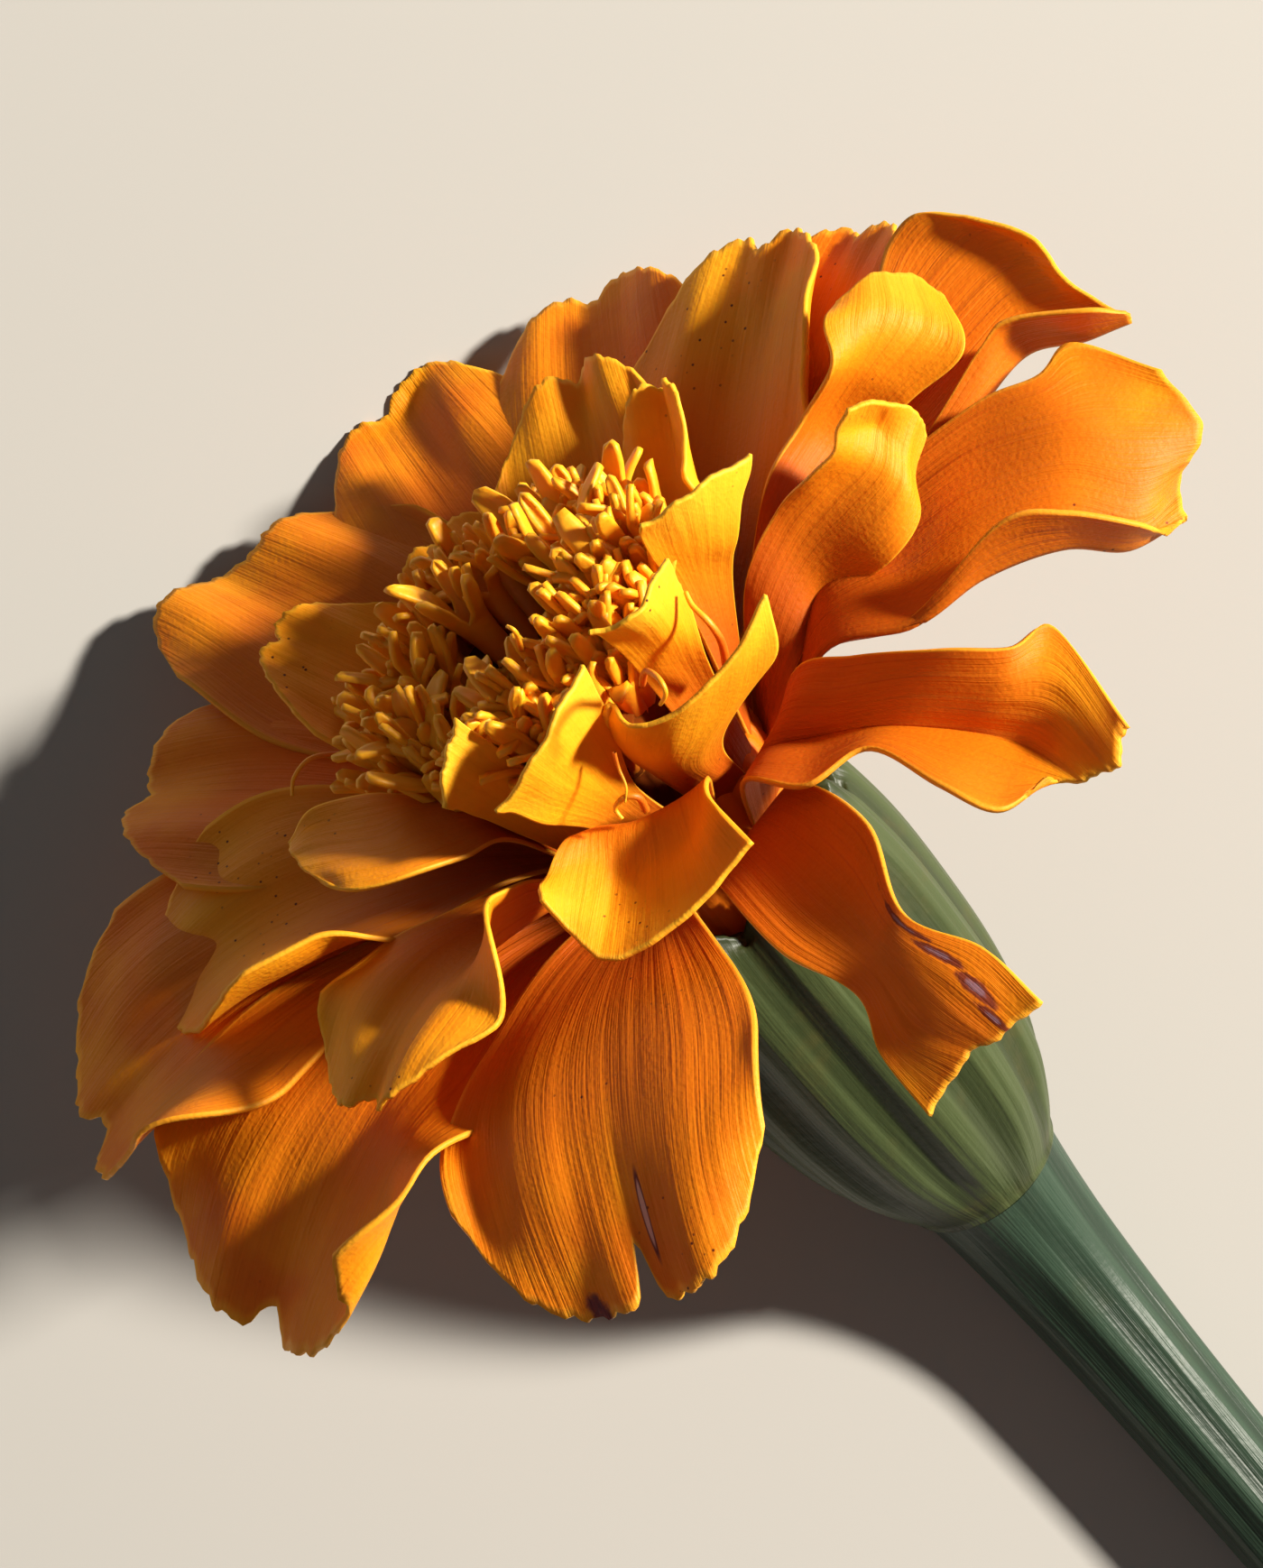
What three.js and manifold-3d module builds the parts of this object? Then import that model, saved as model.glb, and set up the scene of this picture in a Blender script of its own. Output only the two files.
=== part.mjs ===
// A cut French marigold, lying on a table: a crested double flower head on a swollen stalk.
// Millimetres, +Z up. The flower lies with its face tilted up, on its lowest ray florets and its stalk.
// The blossom is worked out in its own frame, with +Z along the flower's axis, out of its face, and the
// origin in the middle of the calyx mouth. The tilted group then lays it down.
import * as THREE from "three";
import { mergeVertices } from "three/addons/utils/BufferGeometryUtils.js";
import Module from "manifold-3d";

// ---- Driving dimensions ----
const AXIS_TILT = 30; // degrees that the flower's axis rises from the table
const MOUTH_HEIGHT = 14.4; // height of the calyx mouth's centre above the table
const ORIGIN_SHIFT = [21.45, -0.8]; // from the calyx mouth to the middle of the part's footprint, along X and Y

const FLORET_THICKNESS = 0.64; // thickness of a ray floret's blade
const NODE_GAP = 0.3; // clearance between pieces that touch
const CUT_MARGIN = 0.3; // clearance that the ray florets cut out of the disc florets
const SLEEVE_OUTER = 4.25; // sleeve of ray floret tubes inside the calyx
const SLEEVE_TAPER = 0.6;
const SLEEVE_BOTTOM = -16.9;
const SLEEVE_SHOULDER = -10;
const SLEEVE_TOP = 2.2;
const CLAW_RADIUS = 3.9; // where the florets leave the sleeve
const CLAW_SINK = -0.02; // how far a blade starts inside it, as a share of its length
const OUTER_BASE = -0.2; // height of each whorl's claws
const MIDDLE_BASE = 0.7;
const INNER_BASE = 1.6;

const BUNDLE_RADIUS = 2.75; // bundle of disc floret tubes in the middle of the sleeve
const CREST_MEAN = 7.5; // outer radius of the crest of disc florets
const CREST_LEAN = 2.4; // how much wider it is on its far side
const CREST_AZIMUTH = 122; // where it is widest
const CREST_HEIGHT = 10.4;
const CORE_SIDES = 24;
const PIT_RADIUS = 3.2; // dark hollow in the middle of the crest
const PIT_LEAN = 1.3;
const DISC_FLORETS = 44;
const GOLDEN_ANGLE = 2.39996; // radians from one disc floret to the next
const TUBE_LENGTH = 2.2;
const TUBE_FOOT = 0.45; // radii of a disc floret's tube, at its foot, in the clefts and under the lobes
const TUBE_CLEFT = 0.5;
const TUBE_MOUTH = 0.85;
const FLORET_LOBES = 3;
const LOBE_LENGTH = 1.8;
const LOBE_SPREAD = 0.42; // how far a lobe reaches out and up, as shares of its length
const LOBE_RISE = 0.8;

const CALYX_RIBS = 12;
const CALYX_RIB_DEPTH = 0.16;
const CALYX_BOTTOM = -20.2;
const CALYX_FLOOR = -17.2; // inside bottom of the cup
const CALYX_TOOTH = 1.6; // depth of the clefts between the teeth at the mouth

const STEM_LENGTH = 45; // from the calyx to the cut end
const STEM_RADIUS = 1.95;
const STEM_SWELL = 3.1; // radius of the swollen top of the stalk
const STEM_TAPER = 9;
const STEM_SIDES = 12;
const STEM_RINGS = 18;
const STEM_CROWDING = 1.3; // its rings stand closer near the calyx
const STEM_BEND = 16; // radius of the bend that lays the stalk along the table
const FACET_SHARE = Math.cos(Math.PI / STEM_SIDES); // a flat side's distance from the middle, by the radius

const COLOURS = { ray: 0xe07a10, disc: 0xe8961c, calyx: 0x4f5f33, stem: 0x55683f };

// ---- Small helpers ----
const rad = (degrees) => (degrees * Math.PI) / 180;
const mix = (a, b, t) => a + (b - a) * t;
const ease = (from, to, x) => {
  const t = Math.min(1, Math.max(0, (x - from) / (to - from)));
  return t * t * (3 - 2 * t);
};
// Repeatable draw in 0..1 for whole numbers i and k.
const draw = (i, k) => {
  const x = Math.sin(i * 127.1 + k * 311.7 + 11.3) * 43758.5453;
  return x - Math.floor(x);
};
const UP = new THREE.Vector3(0, -Math.cos(rad(AXIS_TILT)), Math.sin(rad(AXIS_TILT)));

// A point of the blossom that would go under the table is pressed up until it lies on it.
function pressed(point, clearance) {
  const height = point.dot(UP) + MOUTH_HEIGHT - clearance;
  const SOFTNESS = 0.4;
  if (height >= SOFTNESS) return point;
  const lifted = height <= -SOFTNESS ? 0 : (height + SOFTNESS) ** 2 / (4 * SOFTNESS);
  return point.addScaledVector(UP, lifted - height);
}

// ---- Solids ----
const wasm = await Module();
wasm.setup();

function toSolid(geometry) {
  const bare = geometry.clone();
  bare.deleteAttribute("normal");
  bare.deleteAttribute("uv");
  const merged = mergeVertices(bare, 1e-4);
  return new wasm.Manifold(
    new wasm.Mesh({
      numProp: 3,
      vertProperties: new Float32Array(merged.attributes.position.array),
      triVerts: new Uint32Array(merged.index.array),
    }),
  );
}

function toGeometry(solid) {
  const mesh = solid.getMesh();
  const geometry = new THREE.BufferGeometry();
  geometry.setAttribute("position", new THREE.BufferAttribute(mesh.vertProperties, 3));
  geometry.setIndex(new THREE.BufferAttribute(mesh.triVerts, 1));
  geometry.computeVertexNormals();
  return geometry;
}

// Joins solids in pairs, and the results in pairs, until one is left. Its outer shell is kept, so a pocket
// that closed between the pieces is filled and a loose scrap is dropped.
function joined(solids) {
  let layer = solids;
  while (layer.length > 1) {
    const next = [];
    for (let i = 1; i < layer.length; i += 2) next.push(layer[i - 1].add(layer[i]));
    if (layer.length % 2 === 1) next.push(layer[layer.length - 1]);
    layer = next;
  }
  return largestShell(layer[0]);
}

function largestShell(solid) {
  return solid.decompose().reduce((best, shell) => (shell.volume() > best.volume() ? shell : best));
}

// A closed body through rings of the same number of points, with flat ends. The rings run anticlockwise
// seen from the last ring.
function loft(rings) {
  const sides = rings[0].length;
  const points = rings.flat();
  const faces = [];
  for (let j = 0; j + 1 < rings.length; j++)
    for (let i = 0; i < sides; i++) {
      const a = j * sides + i;
      const b = j * sides + ((i + 1) % sides);
      faces.push(a, b, b + sides, a, b + sides, a + sides);
    }
  const first = points.length;
  points.push(centreOf(rings[0]), centreOf(rings[rings.length - 1]));
  const last = (rings.length - 1) * sides;
  for (let i = 0; i < sides; i++) {
    const k = (i + 1) % sides;
    faces.push(first, k, i, first + 1, last + i, last + k);
  }
  return bodyFrom(points, faces);
}

function centreOf(ring) {
  const centre = new THREE.Vector3();
  ring.forEach((p) => centre.add(p));
  return centre.divideScalar(ring.length);
}

function bodyFrom(points, faces) {
  const geometry = new THREE.BufferGeometry();
  const coordinates = points.flatMap((p) => [p.x, p.y, p.z]);
  geometry.setAttribute("position", new THREE.Float32BufferAttribute(coordinates, 3));
  geometry.setIndex(faces);
  return geometry;
}

// ---- Where the picture shows a point ----
// The camera looks straight down on the table, with the flower's stalk to the lower right.
const SIGHT = { tilt: 40, distance: 230, crestHeight: 10, crestAt: [590, 700], pixelsPerMm: 31.4 };

// The point of the flower that is seen `across` pixels from the picture's left and `down` pixels from its top,
// at a height over the calyx mouth.
function seen([across, down, height]) {
  const away = new THREE.Vector3(0, UP.z, -UP.y); // along the table, from the stalk to the face
  const turn = rad(SIGHT.tilt);
  const right = new THREE.Vector3(Math.cos(turn), 0, 0).addScaledVector(away, -Math.sin(turn));
  const up = new THREE.Vector3(Math.sin(turn), 0, 0).addScaledVector(away, Math.cos(turn));
  let flat = new THREE.Vector3();
  let depth = 0;
  for (let i = 0; i < 3; i++) {
    const scale = (1 - depth / SIGHT.distance) / SIGHT.pixelsPerMm;
    flat = right.clone().multiplyScalar((across - SIGHT.crestAt[0]) * scale);
    flat.addScaledVector(up, (SIGHT.crestAt[1] - down) * scale);
    depth = (height - SIGHT.crestHeight - flat.z) / UP.z;
  }
  return flat.addScaledVector(UP, depth).add(new THREE.Vector3(0, 0, SIGHT.crestHeight));
}

// ---- Ray florets ----
// Each floret springs from the bundle at azimuth `at`. base, mid and tip are [distance from the axis, height]
// of the midrib's curve, which leaves base towards mid and reaches tip. half is its half width, widest at the
// share `wide` of its length. cup curls its edges up by that many degrees, pleat waves it lengthwise, turn and
// twist lean it about its midrib, at the base and by the tip, and sweep bends it sideways. round and corner
// shape its end, skew makes one side longer, each notch is [place across, depth, width] and each fold is
// [place across, degrees, start and end along, width].
const FLORET = {
  base: [3.9, 0], half: 4, wide: 0.64, claw: 0.2, sweep: 0, turn: 0, twist: 0, cup: 12, pleat: 20, pleats: 2.2,
  phase: 0, round: 0.28, corner: 2.6, skew: 0, ruffle: 0.25, curl: 0, notches: [[0.05, 0.04, 0.12]], folds: [],
  spread: 14,
};
const ray = (at, tip, mid, half, more) => ({ ...FLORET, at, tip, mid, half, ...more });

// A floret that curls too freely for these is drawn after the picture: rows of points from above the claw to
// the end, each from the side of lower azimuth to the other, as [pixels across, pixels down, height].
const drawn = (at, rows) => ({ ...FLORET, at, rows });

const OUTER = {
  front: ray(238, [23.3, -1.2], [15, 6.5], 6.5, {
    wide: 0.6, cup: -8, pleat: 8, round: 0.24, corner: 4, skew: 0.02, sweep: 2,
    notches: [[0.07, 0.11, 0.045]], folds: [[-0.75, 45, 0.5, 3, 0.2], [0.8, -40, 0.45, 0.6, 0.25]],
  }),
  front_left: ray(197, [24.2, -1], [14, 6], 7.8, {
    wide: 0.78, turn: -18, pleat: 6, cup: 0, round: 0.2, skew: 0.03, notches: [[-0.02, 0.05, 0.08]],
    folds: [[0.08, -20, 0.4, 3, 0.15], [0.35, 22, 0.45, 3, 0.2], [0.78, 80, 0.68, 3, 0.1]],
  }),
  left: ray(169, [24.6, 3], [14, 8], 6.8, {
    wide: 0.8, turn: -14, cup: 4, pleat: 10, round: 0.2, skew: 0.04, folds: [[0.4, 60, 0.6, 3, 0.25]],
  }),
  left_far: ray(137, [20.8, 7.2], [13, 7], 5.8, { cup: 8 }),
  far_left: ray(110, [21.6, 9], [13, 7], 5.6, {
    cup: 8, skew: 0.1, round: 0.22, corner: 5, notches: [[-0.2, 0.03, 0.2]],
  }),
  far: ray(87, [22.8, 8.8], [13, 7], 5.3, { cup: 8, skew: -0.05 }),
  far_right: ray(62, [22, 8.4], [13, 7], 6, { cup: 8 }),
  far_behind: ray(28, [21.8, 8], [13, 7], 5.6, { cup: 8, round: 0.35 }),
  right_far: ray(3, [23.6, 6.6], [13, 7], 7.8, {
    cup: 5, pleat: 10, corner: 3.2, skew: -0.05, notches: [[0.1, 0.02, 0.2]],
    folds: [[-0.5, 80, 0.3, 0.62, 0.25]],
  }),
  right: drawn(341, [
    [[905, 728, 3.6], [912, 724, 3.8], [905, 690, 4.2], [900, 640, 4.8], [900, 590, 5.6]],
    [[1005, 690, 3.8], [1015, 694, 3.8], [1005, 630, 4.3], [995, 570, 5], [990, 515, 6]],
    [[1105, 582, 5.5], [1090, 640, 3.9], [1085, 575, 4.5], [1080, 510, 5.2], [1085, 445, 6.2]],
    [[1180, 566, 4.9], [1180, 607, 3.2], [1180, 545, 4], [1175, 480, 4.9], [1148, 416, 6]],
    [[1262, 590, 2.9], [1255, 609, 1.8], [1262, 560, 2.6], [1250, 480, 3.9], [1190, 383, 5.6]],
    [[1290, 606, 1.3], [1317, 570, 1.4], [1307, 527, 2.2], [1334, 480, 2.6], [1290, 411, 4.4]],
  ]),
  right_near: drawn(306, [
    [[838, 868, 3.4], [850, 845, 3], [865, 800, 3.6], [880, 748, 4.2]],
    [[905, 862, 3.6], [915, 825, 3], [930, 780, 4], [950, 726, 4.9]],
    [[985, 838, 3.3], [1000, 812, 2.8], [1020, 765, 3.8], [1040, 720, 4.7]],
    [[1060, 880, 2.4], [1085, 822, 1.9], [1110, 770, 2.9], [1120, 718, 3.7]],
    [[1112, 902, 1.2], [1145, 840, 1], [1175, 780, 1.8], [1170, 697, 2.7]],
    [[1158, 862, 0.9], [1195, 866, 0.4], [1237, 850, 0.5], [1247, 800, 1.3]],
  ]),
  front_right: drawn(276, [
    [[800, 985, 2.2], [822, 955, 2.1], [850, 915, 2.2], [885, 868, 2.8]],
    [[866, 1056, 2], [890, 1025, 1.9], [925, 975, 2.1], [962, 912, 3]],
    [[952, 1104, 0.6], [965, 1080, 1.1], [985, 1045, 1.6], [1002, 1012, 2]],
    [[978, 1170, -0.6], [1008, 1142, -0.1], [1050, 1102, 0.5], [1090, 1050, 0.9]],
    [[1028, 1234, -1.9], [1072, 1172, -1.1], [1108, 1150, -0.9], [1152, 1108, -0.4]],
  ]),
};

const MIDDLE = {
  left: ray(165, [19.6, 4.6], [12, 7.4], 5.6, {
    turn: -12, cup: 14, skew: -0.02, folds: [[0.45, 65, 0.3, 3, 0.25]],
  }),
  front_left: ray(208, [17.2, 4.2], [10.5, 6.8], 4.6, {
    cup: 5, folds: [[0.3, 70, 0.1, 0.45, 0.25], [0.5, -25, 0.65, 3, 0.25]],
  }),
  front: drawn(262, [
    [[640, 928, 5.8], [668, 918, 5.4], [705, 912, 5.1], [750, 890, 4.8], [788, 864, 4.9]],
    [[604, 974, 7.2], [655, 964, 6.6], [700, 977, 5.9], [762, 946, 5.8], [787, 884, 6.4]],
    [[599, 996, 6.7], [640, 1042, 5.2], [690, 1064, 4.3], [778, 1001, 4.6], [831, 930, 5.4]],
  ]),
  right: drawn(348, [
    [[882, 742, 3.2], [872, 715, 4], [848, 690, 5], [826, 655, 6.2]],
    [[915, 672, 4], [905, 640, 5.2], [880, 605, 6.6], [860, 568, 8]],
    [[988, 622, 4.8], [965, 590, 6], [925, 548, 7.5], [897, 528, 8.8]],
    [[1016, 575, 5.4], [1000, 545, 6.6], [960, 510, 8], [922, 502, 9.2]],
    [[1006, 526, 6.4], [1003, 500, 7.3], [968, 470, 8.6], [930, 480, 9.6]],
    [[1026, 484, 6.8], [1015, 456, 7.9], [980, 446, 9.3], [940, 453, 10.2]],
  ]),
  right_far: drawn(4, [
    [[880, 620, 5.4], [868, 600, 6], [856, 580, 6.6], [842, 565, 7.2]],
    [[945, 510, 5.8], [925, 490, 6.6], [905, 475, 7.5], [888, 468, 8.4]],
    [[1015, 438, 6.4], [985, 418, 7.3], [950, 402, 8.6], [922, 408, 9.6]],
    [[1071, 388, 7], [1030, 365, 8], [975, 350, 9.3], [914, 362, 10.3]],
    [[1046, 330, 8], [1015, 308, 9], [972, 305, 10.1], [925, 333, 10.6]],
  ]),
  far_right: ray(38, [20.8, 9], [11, 6], 5.8, { cup: 14, folds: [[-0.5, 50, 0.4, 3, 0.25]] }),
  left_small: drawn(163, [
    [[545, 893, 5.6], [550, 905, 5.6], [556, 918, 5.3], [566, 931, 4.9]],
    [[470, 886, 7], [467, 905, 6.9], [488, 930, 6.1], [516, 948, 5.2]],
    [[408, 884, 7.8], [422, 930, 7.2], [438, 950, 6.5], [457, 965, 5.7]],
    [[350, 903, 8.2], [362, 935, 7.8], [376, 958, 7.1], [393, 977, 6.2]],
    [[318, 932, 8.2], [325, 947, 8], [337, 960, 7.6], [362, 971, 7]],
  ]),
  far: ray(60, [15, 10], [9, 6.2], 4.4, { cup: 20, pleat: 14, folds: [[-0.5, 50, 0.4, 3, 0.25]] }),
  far_left: ray(122, [14.2, 10.2], [9, 6], 3.3, { cup: 20, pleat: 14 }),
  far_low: ray(93, [13, 8.4], [9, 6], 3.4, { cup: 20, pleat: 14 }),
};

const INNER = {
  curled: drawn(296, [
    [[692, 832, 6], [715, 850, 5.6], [745, 854, 5.2], [775, 843, 5], [800, 815, 5]],
    [[668, 800, 8.3], [695, 825, 7.6], [745, 825, 7.2], [805, 780, 7.4], [857, 722, 8.2]],
    [[676, 776, 9.3], [702, 806, 9.2], [758, 784, 9.2], [815, 722, 9.8], [850, 660, 10.6]],
  ]),
  front: drawn(256, [
    [[655, 918, 5], [685, 890, 5.2], [703, 868, 5.6]],
    [[600, 912, 7], [642, 858, 7.9], [678, 800, 8.8]],
    [[547, 897, 9], [603, 822, 10.4], [642, 733, 11.6]],
  ]),
  front_left: drawn(226, [
    [[556, 915, 6.6], [583, 893, 6.8], [606, 868, 7.2]],
    [[487, 890, 9.4], [494, 840, 10.8], [505, 795, 12]],
  ]),
  near: drawn(312, [
    [[722, 762, 7.5], [757, 742, 7.5], [786, 735, 7.5]],
    [[684, 718, 10], [732, 700, 10.2], [764, 672, 10.4]],
    [[652, 700, 11.6], [709, 676, 12], [735, 614, 12.8]],
  ]),
  right: drawn(344, [
    [[756, 662, 7.8], [785, 655, 7.5], [811, 645, 7.5]],
    [[722, 618, 9.8], [775, 600, 9.9], [818, 592, 9.9]],
    [[707, 580, 11.5], [765, 548, 12], [828, 500, 12.3]],
  ]),
  far_right: ray(36, [11.6, 10.8], [8, 5.2], 2.7, { cup: 30, pleat: 14, folds: [[-0.3, 50, 0.5, 3, 0.25]] }),
};

// The place at a share (0..1) along a smooth curve through points.
function through(points, share) {
  const last = points.length - 1;
  const whole = Math.min(last - 1, Math.max(0, Math.floor(share * last)));
  const t = share * last - whole;
  const [b, c] = [points[whole], points[whole + 1]];
  const a = points[whole - 1] ?? b.clone().multiplyScalar(2).sub(c);
  const d = points[whole + 2] ?? c.clone().multiplyScalar(2).sub(b);
  return b
    .clone()
    .multiplyScalar(1 - 2.5 * t ** 2 + 1.5 * t ** 3)
    .addScaledVector(a, -0.5 * t + t ** 2 - 0.5 * t ** 3)
    .addScaledVector(c, 0.5 * t + 2 * t ** 2 - 1.5 * t ** 3)
    .addScaledVector(d, -0.5 * t ** 2 + 0.5 * t ** 3);
}

function drawnPoint(f, s, v) {
  const columns = f.rows[0].length;
  const claw = Array.from({ length: columns }, (_, i) => {
    const azimuth = rad(f.at + f.spread * ((2 * i) / (columns - 1) - 1));
    return new THREE.Vector3(f.base[0] * Math.cos(azimuth), f.base[0] * Math.sin(azimuth), f.base[1]);
  });
  const net = [claw, ...f.rows.map((row) => row.map(seen))];
  return through(net.map((row) => through(row, (s + 1) / 2)), v);
}

// How many degrees a fold turns the blade's section at share m across and t along.
function foldTurn([place, angle, start, end, width], m, t) {
  if (m * place <= 0) return 0;
  const past = ease(Math.abs(place), Math.abs(place) + width, Math.abs(m));
  return Math.sign(m) * angle * past * ease(start, start + 0.25, t) * (1 - ease(end, end + 0.25, t));
}

// A point of a floret's middle surface, at share s (-1..1) across and v (0..1) along it.
function floretPoint(f, s, v) {
  if (f.rows) return drawnPoint(f, s, v);
  let reach = 1 - f.round * Math.abs(s) ** f.corner + f.skew * s;
  for (const [place, depth, width] of f.notches) reach -= depth * Math.exp(-(((s - place) / width) ** 2));
  const t = v * reach;
  const u = 1 - t;
  const out = u * u * f.base[0] + 2 * u * t * f.mid[0] + t * t * f.tip[0];
  const height = u * u * f.base[1] + 2 * u * t * f.mid[1] + t * t * f.tip[1];
  const slope = new THREE.Vector2(
    u * (f.mid[0] - f.base[0]) + t * (f.tip[0] - f.mid[0]),
    u * (f.mid[1] - f.base[1]) + t * (f.tip[1] - f.mid[1]),
  ).normalize();
  const azimuth = rad(f.at + f.sweep * t * t);
  const outward = new THREE.Vector3(Math.cos(azimuth), Math.sin(azimuth), 0);
  const around = new THREE.Vector3(-Math.sin(azimuth), Math.cos(azimuth), 0);
  const inner = outward.clone().multiplyScalar(-slope.y).setZ(slope.x);
  const lean = rad(f.turn + f.twist * t);
  const side = around.clone().multiplyScalar(Math.cos(lean)).addScaledVector(inner, Math.sin(lean));
  const normal = inner.clone().multiplyScalar(Math.cos(lean)).addScaledVector(around, -Math.sin(lean));

  const half = f.half * mix(f.claw, 1, ease(0, f.wide, t) ** 0.9) * (1 - 0.12 * ease(f.wide, 1, t));
  const opened = ease(0.12, 0.85, t);
  const arch = mix(60, f.cup, ease(0, 0.4, t));
  const STEPS = 12;
  let x = 0;
  let y = 0;
  for (let i = 0; i < STEPS; i++) {
    const m = (s * (i + 0.5)) / STEPS;
    const wave = f.pleat * Math.sin(Math.PI * f.pleats * m + rad(f.phase));
    const folded = f.folds.reduce((sum, fold) => sum + foldTurn(fold, m, t), 0);
    const angle = rad(arch * m + opened * wave + folded);
    x += (Math.cos(angle) * s * half) / STEPS;
    y += (Math.sin(angle) * s * half) / STEPS;
  }
  const edge = 0.3 + 0.7 * s * s;
  y += f.ruffle * ease(0.3, 1, t) * edge * Math.sin(7 * t + 5.3 * s + f.at);
  y += f.curl * ease(0.55, 1, t) ** 2;
  return outward.multiplyScalar(out).setZ(height).addScaledVector(side, x).addScaledVector(normal, y);
}

// A point on one face (1 or -1) of a floret's blade: half the thickness from the middle surface.
function bladePoint(f, s, v, face, thickness) {
  const STEP = 0.02;
  const across = floretPoint(f, s + STEP, v).sub(floretPoint(f, s - STEP, v));
  const along = floretPoint(f, s, v + STEP).sub(floretPoint(f, s, v - STEP));
  const normal = across.cross(along).normalize();
  const middle = pressed(floretPoint(f, s, v), FLORET_THICKNESS / 2);
  return middle.addScaledVector(normal, (face * thickness) / 2);
}

// A floret's blade as a closed body: two like grids, one to each side of the middle surface. grown adds a
// margin all round it.
function floretBody(f, grown) {
  const places = Array.from({ length: f.across + 1 }, (_, i) => -1 + (2 * i) / f.across);
  const stations = Array.from({ length: f.along + 1 }, (_, j) => mix(CLAW_SINK, 1, j / f.along));
  if (grown > 0) {
    const margin = grown / f.half;
    places.unshift(-1 - margin);
    places.push(1 + margin);
    stations.push(1 + margin);
  }
  const points = [1, -1].flatMap((face) =>
    stations.flatMap((v) => places.map((s) => bladePoint(f, s, v, face, FLORET_THICKNESS + 2 * grown))),
  );
  const row = places.length;
  const layer = row * stations.length;
  const faces = [];
  for (let j = 0; j + 1 < stations.length; j++)
    for (let i = 0; i + 1 < row; i++) {
      const a = j * row + i;
      const b = a + row;
      faces.push(a, a + 1, b + 1, a, b + 1, b);
      faces.push(layer + a, layer + b + 1, layer + a + 1, layer + a, layer + b, layer + b + 1);
    }
  const rim = [];
  for (let i = 0; i + 1 < row; i++) rim.push(i);
  for (let j = 1; j < stations.length; j++) rim.push(j * row - 1);
  for (let i = row; i > 1; i--) rim.push(layer - row + i - 1);
  for (let j = stations.length - 1; j > 0; j--) rim.push(j * row);
  rim.forEach((a, n) => {
    const b = rim[(n + 1) % rim.length];
    faces.push(a, a + layer, b + layer, a, b + layer, b);
  });
  return toSolid(bodyFrom(points, faces));
}

function sleeve() {
  const inside = BUNDLE_RADIUS + NODE_GAP;
  const profile = [
    [inside, SLEEVE_BOTTOM],
    [SLEEVE_OUTER - SLEEVE_TAPER, SLEEVE_BOTTOM],
    [SLEEVE_OUTER, SLEEVE_SHOULDER],
    [SLEEVE_OUTER, SLEEVE_TOP],
    [inside, SLEEVE_TOP],
    [inside, SLEEVE_BOTTOM],
  ];
  const points = profile.map(([x, y]) => new THREE.Vector2(x, y));
  return toSolid(new THREE.LatheGeometry(points, 24).rotateX(Math.PI / 2));
}

// The whorls leave the sleeve one above the other, so that their claws lie in layers. Each has its florets,
// the height of their claws, and how finely a blade is divided across and along.
const WHORLS = [
  [OUTER, OUTER_BASE, 6, 7],
  [MIDDLE, MIDDLE_BASE, 6, 6],
  [INNER, INNER_BASE, 4, 6],
];

function blades(whorls, grown) {
  return whorls.flatMap(([whorl, height, across, along]) =>
    Object.values(whorl).map((spec) =>
      floretBody({ ...spec, base: [CLAW_RADIUS, height], across, along }, grown),
    ),
  );
}

function rayFlorets() {
  return joined([sleeve(), ...blades(WHORLS, 0)]);
}

// ---- Disc florets ----
// The crest is a lopsided ring round the dark hollow: wide on the far side, narrow on the near one.
function crestRadius(azimuth) {
  return CREST_MEAN + CREST_LEAN * Math.cos(azimuth - rad(CREST_AZIMUTH));
}

function crestCore() {
  // Each row is [height, share of the crest's radius, and radius added to it].
  const rows = [
    [SLEEVE_BOTTOM, 0, BUNDLE_RADIUS - 0.5],
    [-12, 0, BUNDLE_RADIUS],
    [SLEEVE_TOP + NODE_GAP, 0, BUNDLE_RADIUS],
    [4.6, 0.5, 0.4],
    [6.6, 0.74, 0.2],
    [8, 0.74, 0],
    [7.8, 0.42, 1.1],
    [3.6, 0.1, 1.2],
  ];
  const rings = rows.map(([height, share, extra]) => {
    const ring = [];
    for (let i = 0; i < CORE_SIDES; i++) {
      const azimuth = (i / CORE_SIDES) * 2 * Math.PI;
      const radius = share * crestRadius(azimuth) + extra;
      ring.push(new THREE.Vector3(radius * Math.cos(azimuth), radius * Math.sin(azimuth), height));
    }
    return ring;
  });
  return toSolid(loft(rings));
}

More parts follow.
